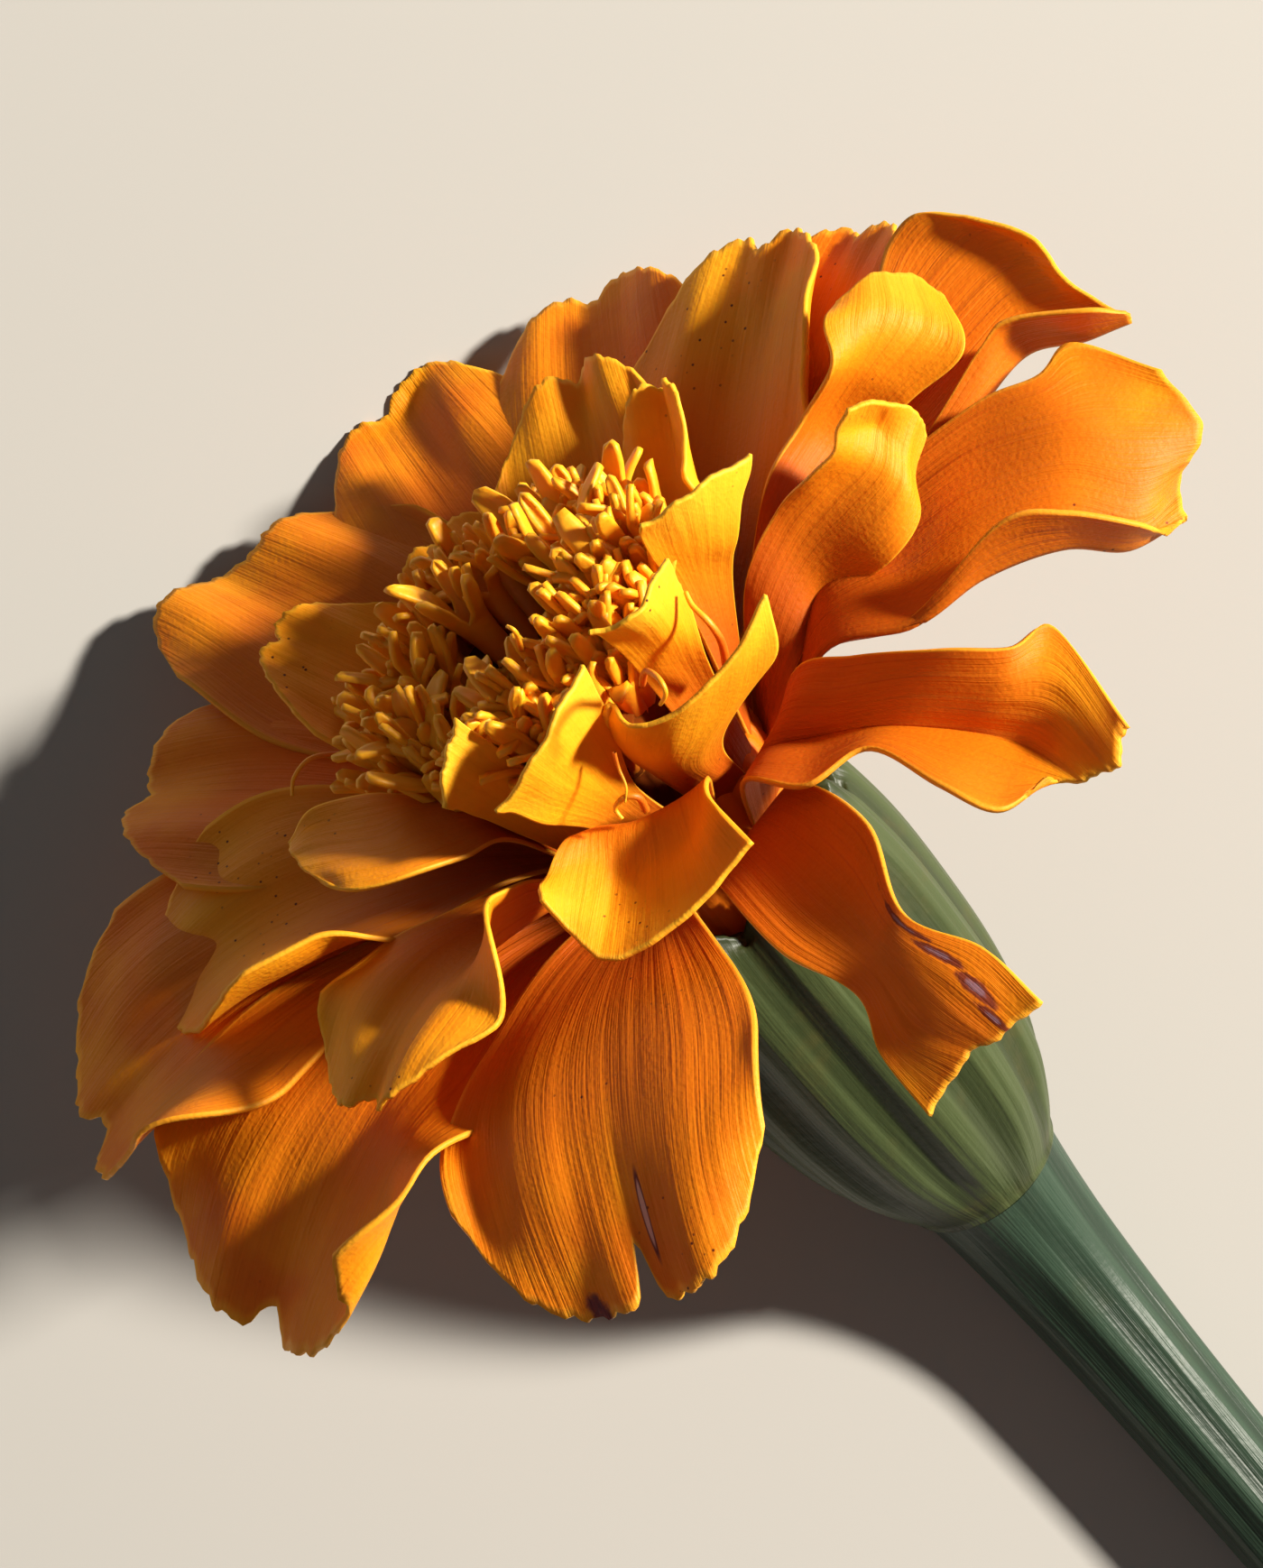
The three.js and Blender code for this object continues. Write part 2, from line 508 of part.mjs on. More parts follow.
// A disc floret is a short tube that opens into a crown of spread lobes.
function discFloret(index) {
  const share = Math.sqrt((index + 0.5) / DISC_FLORETS);
  const azimuth = index * GOLDEN_ANGLE;
  const pit = PIT_RADIUS + PIT_LEAN * Math.cos(azimuth - rad(CREST_AZIMUTH));
  const radius = mix(pit, crestRadius(azimuth) - 0.9, share);
  const height = CREST_HEIGHT - 2.6 + 0.7 * Math.sin(Math.PI * share) - 0.6 * share * share;
  const outward = new THREE.Vector3(Math.cos(azimuth), Math.sin(azimuth), 0);
  const root = outward.clone().multiplyScalar(radius * 0.93).setZ(height - 1.4);
  const axis = outward.clone().multiplyScalar(mix(-0.3, 0.55, share)).setZ(1).normalize();
  const upright = new THREE.Quaternion().setFromUnitVectors(new THREE.Vector3(0, 0, 1), axis);
  const sides = FLORET_LOBES * 3;
  const spin = draw(index, 1) * Math.PI;
  const level = (radiusAt, heightAt) => {
    const ring = [];
    for (let i = 0; i < sides; i++) {
      const a = spin + (i / sides) * 2 * Math.PI;
      const p = new THREE.Vector3(radiusAt(i) * Math.cos(a), radiusAt(i) * Math.sin(a), heightAt(i));
      ring.push(p.applyQuaternion(upright).add(root));
    }
    return ring;
  };
  // Two corners of three stand on a lobe, the third lies in the cleft beside it.
  const lobe = (i) => (i % 3 === 0 ? 0 : LOBE_LENGTH * mix(0.75, 1.1, draw(index, Math.floor(i / 3) + 2)));
  return toSolid(
    loft([
      level(() => TUBE_FOOT, () => 0),
      level((i) => (i % 3 === 0 ? TUBE_CLEFT : TUBE_MOUTH), () => TUBE_LENGTH),
      level((i) => 0.34 + LOBE_SPREAD * lobe(i), (i) => TUBE_LENGTH - 0.2 + LOBE_RISE * lobe(i)),
    ]),
  );
}

function discFlorets() {
  const pieces = [crestCore()];
  for (let i = 0; i < DISC_FLORETS; i++) pieces.push(discFloret(i));
  // What would cross a ray floret is cut clear of it.
  const kept = joined(blades(WHORLS, CUT_MARGIN));
  return largestShell(joined(pieces).subtract(kept));
}

// ---- Calyx ----
// Fused bracts make a ribbed urn. Its radius at each height, from the mouth down.
const CALYX_PROFILE = [[-0.9, 5.2], [-3, 5.6], [-6, 5.85], [-10, 5.75], [-13, 5.5], [-16, 4.95], [-18.4, 4.1]];

function calyxRing(height, radius, ribDepth, toothDepth) {
  const sides = CALYX_RIBS * 4;
  const ring = [];
  for (let i = 0; i < sides; i++) {
    const azimuth = (i / sides) * 2 * Math.PI;
    const rib = Math.cos(azimuth * CALYX_RIBS);
    const r = radius + ribDepth * rib;
    const z = height + toothDepth * (Math.abs(((i % 4) - 2) / 2) - 1);
    ring.push(new THREE.Vector3(r * Math.cos(azimuth), r * Math.sin(azimuth), z));
  }
  return ring;
}

function calyx() {
  const outside = [calyxRing(CALYX_BOTTOM, 3.1, 0, 0)];
  for (const [height, radius] of [...CALYX_PROFILE].reverse()) {
    const tooth = height > -2 ? CALYX_TOOTH : 0;
    outside.push(calyxRing(height, radius, CALYX_RIB_DEPTH, tooth));
  }
  const inside = [[-0.9, CALYX_TOOTH], [-4, 0], [-14, 0]].map(([height, tooth]) =>
    calyxRing(height, SLEEVE_OUTER + NODE_GAP, 0, tooth),
  );
  inside.push(calyxRing(CALYX_FLOOR, SLEEVE_OUTER - SLEEVE_TAPER + NODE_GAP, 0, 0));
  return toSolid(loft([...outside, ...inside]));
}

// ---- Stalk ----
// It leaves the calyx along the flower's axis, bends down to the table and lies along it to the cut end.
function stem() {
  const start = tilted(new THREE.Vector3(0, 0, CALYX_BOTTOM - NODE_GAP));
  const rings = [];
  const tilt = rad(AXIS_TILT);
  const bendLength = STEM_BEND * tilt;
  const drop = start.z - STEM_RADIUS * FACET_SHARE - STEM_BEND * (1 - Math.cos(tilt));
  const straight = drop / Math.sin(tilt);
  for (let j = 0; j <= STEM_RINGS; j++) {
    const along = STEM_LENGTH * (j / STEM_RINGS) ** STEM_CROWDING;
    const bent = Math.min(Math.max(along - straight, 0), bendLength) / STEM_BEND;
    const slope = tilt - bent;
    const first = Math.min(along, straight);
    const rest = Math.max(0, along - straight - bendLength);
    const x = start.x - first * Math.cos(tilt) - STEM_BEND * (Math.sin(tilt) - Math.sin(slope)) - rest;
    const z = start.z - first * Math.sin(tilt) - STEM_BEND * (Math.cos(slope) - Math.cos(tilt));
    const radius = STEM_RADIUS + (STEM_SWELL - STEM_RADIUS) * Math.exp(-along / STEM_TAPER);
    const ring = [];
    for (let i = 0; i < STEM_SIDES; i++) {
      const a = ((i + 0.5) / STEM_SIDES) * 2 * Math.PI;
      const up = radius * Math.sin(a);
      const side = radius * Math.cos(a);
      const height = Math.max(0, z + up * Math.cos(slope));
      ring.push(new THREE.Vector3(x - up * Math.sin(slope), start.y + side, height));
    }
    rings.push(ring.reverse());
  }
  return toSolid(loft(rings));
}

// ---- The part ----
const flowerToTable = new THREE.Matrix4().makeBasis(
  new THREE.Vector3(0, -1, 0),
  new THREE.Vector3(Math.sin(rad(AXIS_TILT)), 0, -Math.cos(rad(AXIS_TILT))),
  new THREE.Vector3(Math.cos(rad(AXIS_TILT)), 0, Math.sin(rad(AXIS_TILT))),
);
flowerToTable.setPosition(ORIGIN_SHIFT[0], ORIGIN_SHIFT[1], MOUTH_HEIGHT);

function tilted(point) {
  return point.applyMatrix4(flowerToTable);
}

function piece(name, solid, colour, roughness) {
  const material = new THREE.MeshStandardMaterial({ color: colour, roughness, metalness: 0 });
  const mesh = new THREE.Mesh(toGeometry(solid), material);
  mesh.name = name;
  return mesh;
}

const flower = new THREE.Group();
flower.matrixAutoUpdate = false;
flower.matrix.copy(flowerToTable);
flower.add(piece("ray_florets", rayFlorets(), COLOURS.ray, 0.6));
flower.add(piece("disc_florets", discFlorets(), COLOURS.disc, 0.65));
flower.add(piece("calyx", calyx(), COLOURS.calyx, 0.55));

const marigold = new THREE.Group();
marigold.add(flower);
marigold.add(piece("stem", stem(), COLOURS.stem, 0.5));

export default marigold;
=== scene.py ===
"""A cut French marigold, dressed for the camera: ray florets, a crest of disc florets, calyx and stalk.

The blossom is worked out in its own frame in millimetres, as the solid model is: +Z along the flower's axis,
out of its face, with the origin in the middle of the calyx mouth. FlowerPose lays it down on the table and
turns millimetres into metres.
"""

import logging
import math
import random
from collections.abc import Callable
from dataclasses import dataclass, replace
from enum import Enum
from functools import cached_property

import bmesh
import bpy
from mathutils import Matrix, Vector


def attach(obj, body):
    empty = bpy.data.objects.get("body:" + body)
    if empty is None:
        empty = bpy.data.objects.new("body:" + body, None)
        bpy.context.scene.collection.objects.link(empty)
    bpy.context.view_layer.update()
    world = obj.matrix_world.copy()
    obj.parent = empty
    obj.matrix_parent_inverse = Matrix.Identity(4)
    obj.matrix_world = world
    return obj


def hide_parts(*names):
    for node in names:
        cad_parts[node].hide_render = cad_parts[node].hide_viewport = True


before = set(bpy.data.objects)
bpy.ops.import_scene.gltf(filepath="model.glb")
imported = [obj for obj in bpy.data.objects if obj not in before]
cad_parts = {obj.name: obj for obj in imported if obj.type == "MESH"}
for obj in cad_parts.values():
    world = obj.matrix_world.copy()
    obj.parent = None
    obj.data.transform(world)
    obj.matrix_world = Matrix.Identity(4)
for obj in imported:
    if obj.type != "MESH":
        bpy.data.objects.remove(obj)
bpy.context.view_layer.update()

MM = 0.001
GOLDEN_ANGLE = 2.39996
INNER_RUFFLE = 0.17
LOG = logging.getLogger("marigold")
Triple = tuple[float, float, float]
Colour = Triple
Socket = bpy.types.NodeSocket
Corner = bmesh.types.BMVert


# ---------------------------------------------------------------- small sums
def ease(start: float, end: float, x: float) -> float:
    """Rises smoothly from 0 to 1 between two places.

    Args:
        start: where it leaves 0.
        end: where it reaches 1.
        x: the place asked for.

    Returns:
        The eased share, 0 to 1.
    """
    t = min(1.0, max(0.0, (x - start) / (end - start)))
    return t * t * (3.0 - 2.0 * t)


def mix(a: float, b: float, t: float) -> float:
    """Returns the value a share t of the way from a to b."""
    return a + (b - a) * t


def polar(radius: float, azimuth: float, height: float = 0.0) -> Vector:
    """Returns the point at a radius and azimuth (radians) round the flower's axis."""
    return Vector((radius * math.cos(azimuth), radius * math.sin(azimuth), height))


# ---------------------------------------------------------------- where the flower lies
@dataclass(frozen=True)
class FlowerPose:
    """How the blossom lies on the table, as in the solid model. Millimetres and degrees.

    softness is how near to the table a point begins to be pressed up.
    """

    axis_tilt: float = 30.0
    mouth_height: float = 14.4
    shift_x: float = 21.45
    shift_y: float = -0.8
    softness: float = 0.4

    @property
    def table_up(self) -> Vector:
        """The table's upward direction in the flower's frame."""
        tilt = math.radians(self.axis_tilt)
        return Vector((0.0, -math.cos(tilt), math.sin(tilt)))

    def matrix(self) -> Matrix:
        """Returns the matrix from flower millimetres to table metres."""
        tilt = math.radians(self.axis_tilt)
        turn = Matrix(
            (
                (0.0, math.sin(tilt), math.cos(tilt), self.shift_x),
                (-1.0, 0.0, 0.0, self.shift_y),
                (0.0, -math.cos(tilt), math.sin(tilt), self.mouth_height),
                (0.0, 0.0, 0.0, 1.0),
            )
        )
        return Matrix.Scale(MM, 4) @ turn

    def pressed(self, point: Vector, clearance: float) -> Vector:
        """Presses a point that would go under the table up until it lies on it.

        Args:
            point: a point in the flower's frame.
            clearance: how far above the table it has to stay.

        Returns:
            The point, moved along the table's upward direction where it has to.
        """
        height = point.dot(self.table_up) + self.mouth_height - clearance
        if height >= self.softness:
            return point
        lifted = 0.0
        if height > -self.softness:
            lifted = (height + self.softness) ** 2 / (4.0 * self.softness)
        return point + self.table_up * (lifted - height)


POSE = FlowerPose()


@dataclass(frozen=True)
class Sight:
    """How the picture shows the flower: straight from above the table. Millimetres, degrees and pixels."""

    tilt_on_picture: float = 40.0
    distance: float = 230.0
    crest_height: float = 10.0
    crest_at: tuple[float, float] = (590.0, 700.0)
    pixels_per_mm: float = 31.4

    @property
    def right(self) -> Vector:
        """The direction on the table that is the picture's right."""
        turn = math.radians(self.tilt_on_picture)
        return Vector((-math.sin(turn), -math.cos(turn), 0.0))

    @property
    def up(self) -> Vector:
        """The direction on the table that is the picture's top."""
        turn = math.radians(self.tilt_on_picture)
        return Vector((math.cos(turn), -math.sin(turn), 0.0))

    def point(self, across: float, down: float, height: float) -> Vector:
        """Finds the point of the flower that the picture shows at a place.

        Args:
            across: how far from the picture's left it is seen, in pixels.
            down: how far from the picture's top it is seen, in pixels.
            height: its height over the calyx mouth, along the flower's axis.

        Returns:
            The point in the flower's frame.
        """
        turn = POSE.matrix().to_3x3().inverted() * MM
        right, up = turn @ self.right, turn @ self.up
        toward = POSE.table_up
        shrink = 1.0
        for _ in range(3):
            flat = right * ((across - self.crest_at[0]) * shrink / self.pixels_per_mm)
            flat += up * ((self.crest_at[1] - down) * shrink / self.pixels_per_mm)
            depth = (height - self.crest_height - flat.z) / toward.z
            shrink = 1.0 - depth / self.distance
        return Vector((0.0, 0.0, self.crest_height)) + flat + toward * depth


SIGHT = Sight()


# ---------------------------------------------------------------- materials
class NodeSheet:
    """A short hand for building one material's nodes."""

    def __init__(self, name: str) -> None:
        """Makes the material, with its Principled shader, under a name."""
        self.material = bpy.data.materials.new(name)
        self.material.use_nodes = True
        self.tree = self.material.node_tree
        self.shader = next(n for n in self.tree.nodes if n.type == "BSDF_PRINCIPLED")

    def feed(self, node: bpy.types.Node, inputs: dict[int | str, object]) -> None:
        """Feeds a node's inputs.

        Args:
            node: the node.
            inputs: by number or name, the sockets to link them to or the values to set them to.
        """
        for key, value in inputs.items():
            socket = node.inputs[key]
            if isinstance(value, Socket):
                self.tree.links.new(value, socket)
            else:
                socket.default_value = (*value, 1.0) if socket.type == "RGBA" else value

    def node(self, kind: str, inputs: dict[int | str, object], **settings: object) -> bpy.types.Node:
        """Adds a node.

        Args:
            kind: the node's type, without the ShaderNode in front.
            inputs: what its inputs are fed with.
            settings: attributes to set on it.

        Returns:
            The new node.
        """
        made = self.tree.nodes.new("ShaderNode" + kind)
        for key, value in settings.items():
            setattr(made, key, value)
        self.feed(made, inputs)
        return made

    def math(self, operation: str, a: object, b: object = 0.0, clamp: bool = False) -> Socket:
        """Returns the result of a Math node on two values or sockets."""
        return self.node("Math", {0: a, 1: b}, operation=operation, use_clamp=clamp).outputs[0]

    def ramp(self, value: Socket, start: float, end: float, low: float = 0.0, high: float = 1.0) -> Socket:
        """Returns a smooth step of a value from low to high between start and end."""
        inputs = dict(enumerate((value, start, end, low, high)))
        return self.node("MapRange", inputs, interpolation_type="SMOOTHSTEP").outputs[0]

    def blend(self, factor: Socket, a: Colour | Socket, b: Colour | Socket) -> Socket:
        """Returns two colours blended by a factor."""
        return self.node("Mix", {0: factor, 6: a, 7: b}, data_type="RGBA").outputs[2]

    def own_map(self) -> tuple[Socket, Socket]:
        """Returns the two coordinates of the piece's own map."""
        split = self.node("SeparateXYZ", {0: self.node("TexCoord", {}).outputs["UV"]})
        return split.outputs[0], split.outputs[1]

    def place(self, source: str, scale: float | Triple) -> Socket:
        """Returns scaled coordinates.

        Args:
            source: "UV" for the piece's own map, or "Object".
            scale: how many times the pattern repeats, in all or each way.

        Returns:
            The mapped coordinates.
        """
        scales = scale if isinstance(scale, tuple) else (scale, scale, scale)
        inputs = {"Vector": self.node("TexCoord", {}).outputs[source], "Scale": scales}
        return self.node("Mapping", inputs).outputs["Vector"]

    def noise(self, source: str, scale: float | Triple, detail: float = 2.0, rough: float = 0.5) -> Socket:
        """Returns a noise value, 0 to 1, on coordinates scaled as in place."""
        inputs = {"Vector": self.place(source, scale), "Scale": 1.0, "Detail": detail, "Roughness": rough}
        return self.node("TexNoise", inputs).outputs[0]

    def uneven(self, value: Socket, noise: Socket, amount: float, clamp: bool = False) -> Socket:
        """Returns a value that a noise raises or lowers by up to half the amount."""
        change = self.math("MULTIPLY", self.math("SUBTRACT", noise, 0.5), amount)
        return self.math("ADD", value, change, clamp)

    def relief(self, *layers: tuple[Socket, float, float]) -> Socket:
        """Returns the normal of bumps laid over each other: their heights, depths in metres and strengths."""
        under = {}
        for height, depth, strength in layers:
            inputs = {"Height": height, "Distance": depth, "Strength": strength, **under}
            under = {"Normal": self.node("Bump", inputs).outputs[0]}
        return under["Normal"]

    def finished(self, inputs: dict[str, object]) -> bpy.types.Material:
        """Feeds the shader and returns the material."""
        self.feed(self.shader, inputs)
        return self.material


class MarkKind(Enum):
    """The flaws of single florets, as coats of colour: where a coat begins, where it is full, its colour."""

    # A slit is painted, not cut: its dark middle is painted shade in the gap, and its pale edge is the dry
    # edge.
    SLIT = ((1.25, 0.85, (0.10, 0.02, 0.02)), (0.85, 0.6, (0.62, 0.33, 0.30)))
    SPOT = ((1.0, 0.5, (0.10, 0.03, 0.035)),)
    WITHERED = ((1.15, 0.8, (0.17, 0.03, 0.01)), (0.6, 0.3, (0.20, 0.10, 0.12)))


@dataclass(frozen=True)
class Mark:
    """A flaw on a floret, placed on its own map: u across and v along, 0 to 1."""

    kind: MarkKind
    u: float
    v: float
    wide: float
    long: float
    raggedness: float = 1.6

    def painted(self, sheet: NodeSheet, colour: Socket, across: Socket, along: Socket) -> Socket:
        """Paints the flaw over a floret's colour.

        Args:
            sheet: the material's nodes.
            colour: the colour so far.
            across: the map's first coordinate.
            along: the map's second coordinate.

        Returns:
            The colour with the flaw on it.
        """
        squares = [
            sheet.math("POWER", sheet.math("DIVIDE", sheet.math("SUBTRACT", at, middle), size), 2.0)
            for at, middle, size in ((across, self.u, self.wide), (along, self.v, self.long))
        ]
        away = sheet.math("SQRT", sheet.math("ADD", *squares))
        if self.kind is not MarkKind.SLIT:
            away = sheet.uneven(away, sheet.noise("Object", 900.0, detail=4.0, rough=0.65), self.raggedness)
        for begins, full, paint in self.kind.value:
            colour = sheet.blend(sheet.ramp(away, begins, full), colour, paint)
        return colour


@dataclass(frozen=True)
class FloretFinish:
    """The thin, velvety skin of a ray floret, from its throat to its rim. The golden band along the edges is
    partly the petals' own colour and partly a painted highlight where the edges catch light.

    throat_start, throat_end and tip_start are shares along it, and rim_width is a share across it. The
    repeats tell how many times a pattern comes across it and along it. Depths are in metres.
    """

    name: str
    throat: Colour = (0.40, 0.066, 0.001)
    blade: Colour = (0.68, 0.150, 0.0015)
    tip: Colour = (0.85, 0.28, 0.003)
    rim: Colour = (1.0, 0.46, 0.03)
    streak: Colour = (0.45, 0.055, 0.001)
    speck: Colour = (0.09, 0.015, 0.004)
    throat_start: float = 0.15
    throat_end: float = 0.62
    tip_start: float = 0.6
    rim_width: float = 0.022
    rim_share: float = 0.45
    streaks: float = 0.32
    vein_repeats: Triple = (34.0, 1.1, 1.0)
    thread_repeats: Triple = (120.0, 3.0, 1.0)
    wrinkle_repeats: Triple = (7.0, 1.8, 1.0)
    wrinkle_depth: float = 0.0008
    vein_depth: float = 0.00018
    thread_depth: float = 0.00008
    velvet_depth: float = 0.00005
    roughness: float = 0.55
    marks: tuple[Mark, ...] = ()

    def material(self) -> bpy.types.Material:
        """Returns the finish as a material that reads the piece's own map."""
        sheet = NodeSheet(self.name)
        across, along = sheet.own_map()
        colour = sheet.blend(sheet.ramp(along, self.throat_start, self.throat_end), self.throat, self.blade)
        blotches = sheet.ramp(sheet.noise("Object", 260.0, detail=3.0), 0.3, 0.7)
        golden = sheet.math("MULTIPLY", sheet.ramp(along, self.tip_start, 1.0), blotches)
        colour = sheet.blend(golden, colour, self.tip)
        veins = sheet.noise("UV", self.vein_repeats, detail=3.0, rough=0.6)
        faded = sheet.ramp(along, 1.0, 0.35, 0.3 * self.streaks, self.streaks)
        streaked = sheet.math("MULTIPLY", sheet.ramp(veins, 0.52, 0.74), faded)
        colour = sheet.blend(streaked, colour, self.streak)
        threads = sheet.noise("UV", self.thread_repeats)
        colour = sheet.blend(sheet.ramp(threads, 0.52, 0.75, 0.0, 0.5 * self.streaks), colour, self.streak)
        # Golden band along the edges: partly the petals' own colour, partly a painted highlight on lit edges.
        to_side = sheet.math("MINIMUM", across, sheet.math("SUBTRACT", 1.0, across))
        to_edge = sheet.math("MINIMUM", to_side, sheet.math("SUBTRACT", 1.0, along))
        rim = sheet.ramp(to_edge, self.rim_width, 0.003, 0.0, self.rim_share)
        colour = sheet.blend(rim, colour, self.rim)
        colour = self.specks(sheet, colour)
        for mark in self.marks:
            colour = mark.painted(sheet, colour, across, along)
        velvet = sheet.noise("Object", 5200.0, detail=1.0)
        wrinkles = sheet.noise("UV", self.wrinkle_repeats, detail=1.0)
        normal = sheet.relief(
            (wrinkles, self.wrinkle_depth, 0.9 * self.streaks),
            (veins, self.vein_depth, 1.2 * self.streaks),
            (threads, self.thread_depth, 1.4 * self.streaks),
            (velvet, self.velvet_depth, 0.45),
        )
        return sheet.finished({
            "Base Color": colour,
            "Normal": normal,
            "Roughness": self.roughness,
            "Specular IOR Level": 0.22,
            "Subsurface Weight": 0.2,
            "Subsurface Radius": (1.0, 0.45, 0.05),
            "Subsurface Scale": 0.0012,
        })

    def specks(self, sheet: NodeSheet, colour: Socket) -> Socket:
        """Returns the colour with sparse brown specks on it."""
        cells = sheet.node("TexVoronoi", {"Vector": sheet.place("Object", 430.0)})
        dots = sheet.ramp(cells.outputs["Distance"], 0.16, 0.07)
        sparse = sheet.ramp(sheet.noise("Object", 190.0), 0.58, 0.66)
        return sheet.blend(sheet.math("MULTIPLY", dots, sparse), colour, self.speck)


@dataclass(frozen=True)
class DiscFinish:
    """The waxy skin of the disc florets, darker down in their tubes: painted shade between the florets."""

    name: str
    lobe: Colour = (0.95, 0.385, 0.010)
    tube: Colour = (0.55, 0.12, 0.003)
    patchiness: float = 0.8
    grain_depth: float = 0.00008
    roughness: float = 0.5
    shine: float = 0.4

    def material(self) -> bpy.types.Material:
        """Returns the finish as a material that reads the piece's own map, v along each floret."""
        sheet = NodeSheet(self.name)
        _, along = sheet.own_map()
        patches = sheet.noise("Object", 420.0)
        # Painted shade: the colour darkens from the lobes down into the tubes, where the florets shade each
        # other.
        share = sheet.uneven(sheet.ramp(along, 0.15, 0.75), patches, self.patchiness, clamp=True)
        return sheet.finished({
            "Base Color": sheet.blend(share, self.tube, self.lobe),
            "Normal": sheet.relief((sheet.noise("Object", 2600.0), self.grain_depth, 0.5)),
            "Roughness": self.roughness,
            "Specular IOR Level": self.shine,
            "Subsurface Weight": 0.3,
            "Subsurface Radius": (1.0, 0.4, 0.1),
            "Subsurface Scale": 0.001,
        })


@dataclass(frozen=True)
class GreenFinish:
    """The smooth green skin of calyx and stalk, with furrows that follow the piece's own map."""

    name: str
    ridge: Colour = (0.052, 0.070, 0.024)
    furrow: Colour = (0.027, 0.037, 0.012)
    blush: Colour = (0.085, 0.067, 0.018)
    ribs: float = 12.0
    strands_in_rib: float = 7.0
    blush_share: float = 0.45
    painted_mouth_shade: float = 0.0
    strand_depth: float = 0.0002
    pore_depth: float = 0.00005
    roughness: float = 0.42

    def material(self) -> bpy.types.Material:
        """Returns the finish as a material that reads the piece's own map, u round and v along it."""
        sheet = NodeSheet(self.name)
        around, along = sheet.own_map()
        wave = sheet.math("COSINE", sheet.math("MULTIPLY", around, 2.0 * math.pi * self.ribs))
        mottle = sheet.noise("Object", 330.0, detail=4.0, rough=0.6)
        strands = sheet.noise("UV", (self.ribs * self.strands_in_rib, 2.2, 1.0), detail=3.0)
        share = sheet.uneven(sheet.ramp(wave, -0.9, 0.6), strands, 1.1, clamp=True)
        colour = sheet.blend(share, self.furrow, self.ridge)
        colour = sheet.blend(sheet.ramp(mottle, 0.5, 0.8, 0.0, self.blush_share), colour, self.blush)
        # Painted shade: the skin darkens to the furrow colour at the top, towards the mouth under the
        # florets.
        colour = sheet.blend(sheet.ramp(along, 0.9, 0.97, 0.0, self.painted_mouth_shade), colour, self.furrow)
        pores = sheet.noise("Object", 3000.0)
        return sheet.finished({
            "Base Color": colour,
            "Normal": sheet.relief((strands, self.strand_depth, 0.45), (pores, self.pore_depth, 0.4)),
            "Roughness": self.roughness,
            "Specular IOR Level": 0.25,
        })


@dataclass(frozen=True)
class FloorFinish:
    """The plain, pale, matt table."""

    name: str = "pale_table"
    colour: Colour = (0.43, 0.42, 0.40)
    roughness: float = 0.85

    def material(self) -> bpy.types.Material:
        """Returns the finish as a material."""
        return NodeSheet(self.name).finished({"Base Color": self.colour, "Roughness": self.roughness})


# ---------------------------------------------------------------- pieces
def between(a: float, b: float, c: float, d: float, t: float) -> float:
    """Returns the value at a share t of the way from b to c on a smooth curve through four values."""
    return 0.5 * (2 * b + (c - a) * t + (2 * a - 5 * b + 4 * c - d) * t * t + (3 * b - 3 * c + d - a) * t**3)


def curve_through(points: tuple[tuple[float, ...], ...], steps: int) -> list[tuple[float, ...]]:
    """Draws a smooth curve through points.

    Args:
        points: the points, each with the same count of numbers.
        steps: how many equal steps the curve is cut into.

    Returns:
        One more point than steps.
    """
    last = len(points) - 1
    curve = []
    for step in range(steps + 1):
        whole = min(last - 1, int(step * last / steps))
        t = step * last / steps - whole
        a, b = points[max(0, whole - 1)], points[whole]
        c, d = points[whole + 1], points[min(last, whole + 2)]
        curve.append(tuple(between(*four, t) for four in zip(a, b, c, d)))
    return curve


def grown(
    bm: bmesh.types.BMesh, foot: list[Corner], closed: bool
) -> tuple[list[Corner], list[bmesh.types.BMFace]]:
    """Extrudes the line of edges through some corners.

    Args:
        bm: the mesh.
        foot: the corners, each joined to the next.
        closed: whether the last one is joined to the first.

    Returns:
        The new corners, in the order of the old ones, and the new faces.
    """
    ends = foot[1:] + foot[:1] if closed else foot[1:]
    edges = [bm.edges.get(pair) for pair in zip(foot, ends)]
    made = bmesh.ops.extrude_edge_only(bm, edges=edges)["geom"]
    fresh = {v for v in made if isinstance(v, Corner)}
    tops = [next(e.other_vert(v) for e in v.link_edges if e.other_vert(v) in fresh) for v in foot]
    return tops, [f for f in made if isinstance(f, bmesh.types.BMFace)]


def drawn_in_rings(
    bm: bmesh.types.BMesh, sides: int, count: int, point: Callable[[float, float], Vector], top: float = 1.0
) -> list[Corner]:
    """Draws a tube out of a circle, ring after ring, with its map: u round it and v along it.

    Args:
        bm: the mesh that it is added to.
        sides: corners of each ring.
        count: how many rings there are.
        point: gives a corner's place from its share round the ring and the ring's share along the tube.
        top: the map's v at the last ring.

    Returns:
        The last ring's corners.
    """
    map_layer = bm.loops.layers.uv.get("UVMap") or bm.loops.layers.uv.new("UVMap")
    ring = bmesh.ops.create_circle(bm, segments=sides, radius=1.0)["verts"]
    for i, vert in enumerate(ring):
        vert.co = point(i / sides, 0.0)
    for j in range(1, count):
        above, faces = grown(bm, ring, closed=True)
        places = {}
        for i, (low, high) in enumerate(zip(ring, above)):
            places[low] = (i / sides, (j - 1) / (count - 1))
            places[high] = (i / sides, j / (count - 1))
            high.co = point(*places[high])
        for face in faces:
            seam = max(places[loop.vert][0] for loop in face.loops) > 0.75
            for loop in face.loops:
                u, v = places[loop.vert]
                loop[map_layer].uv = (1.0 if seam and u == 0.0 else u, v * top)
        ring = above
    return ring


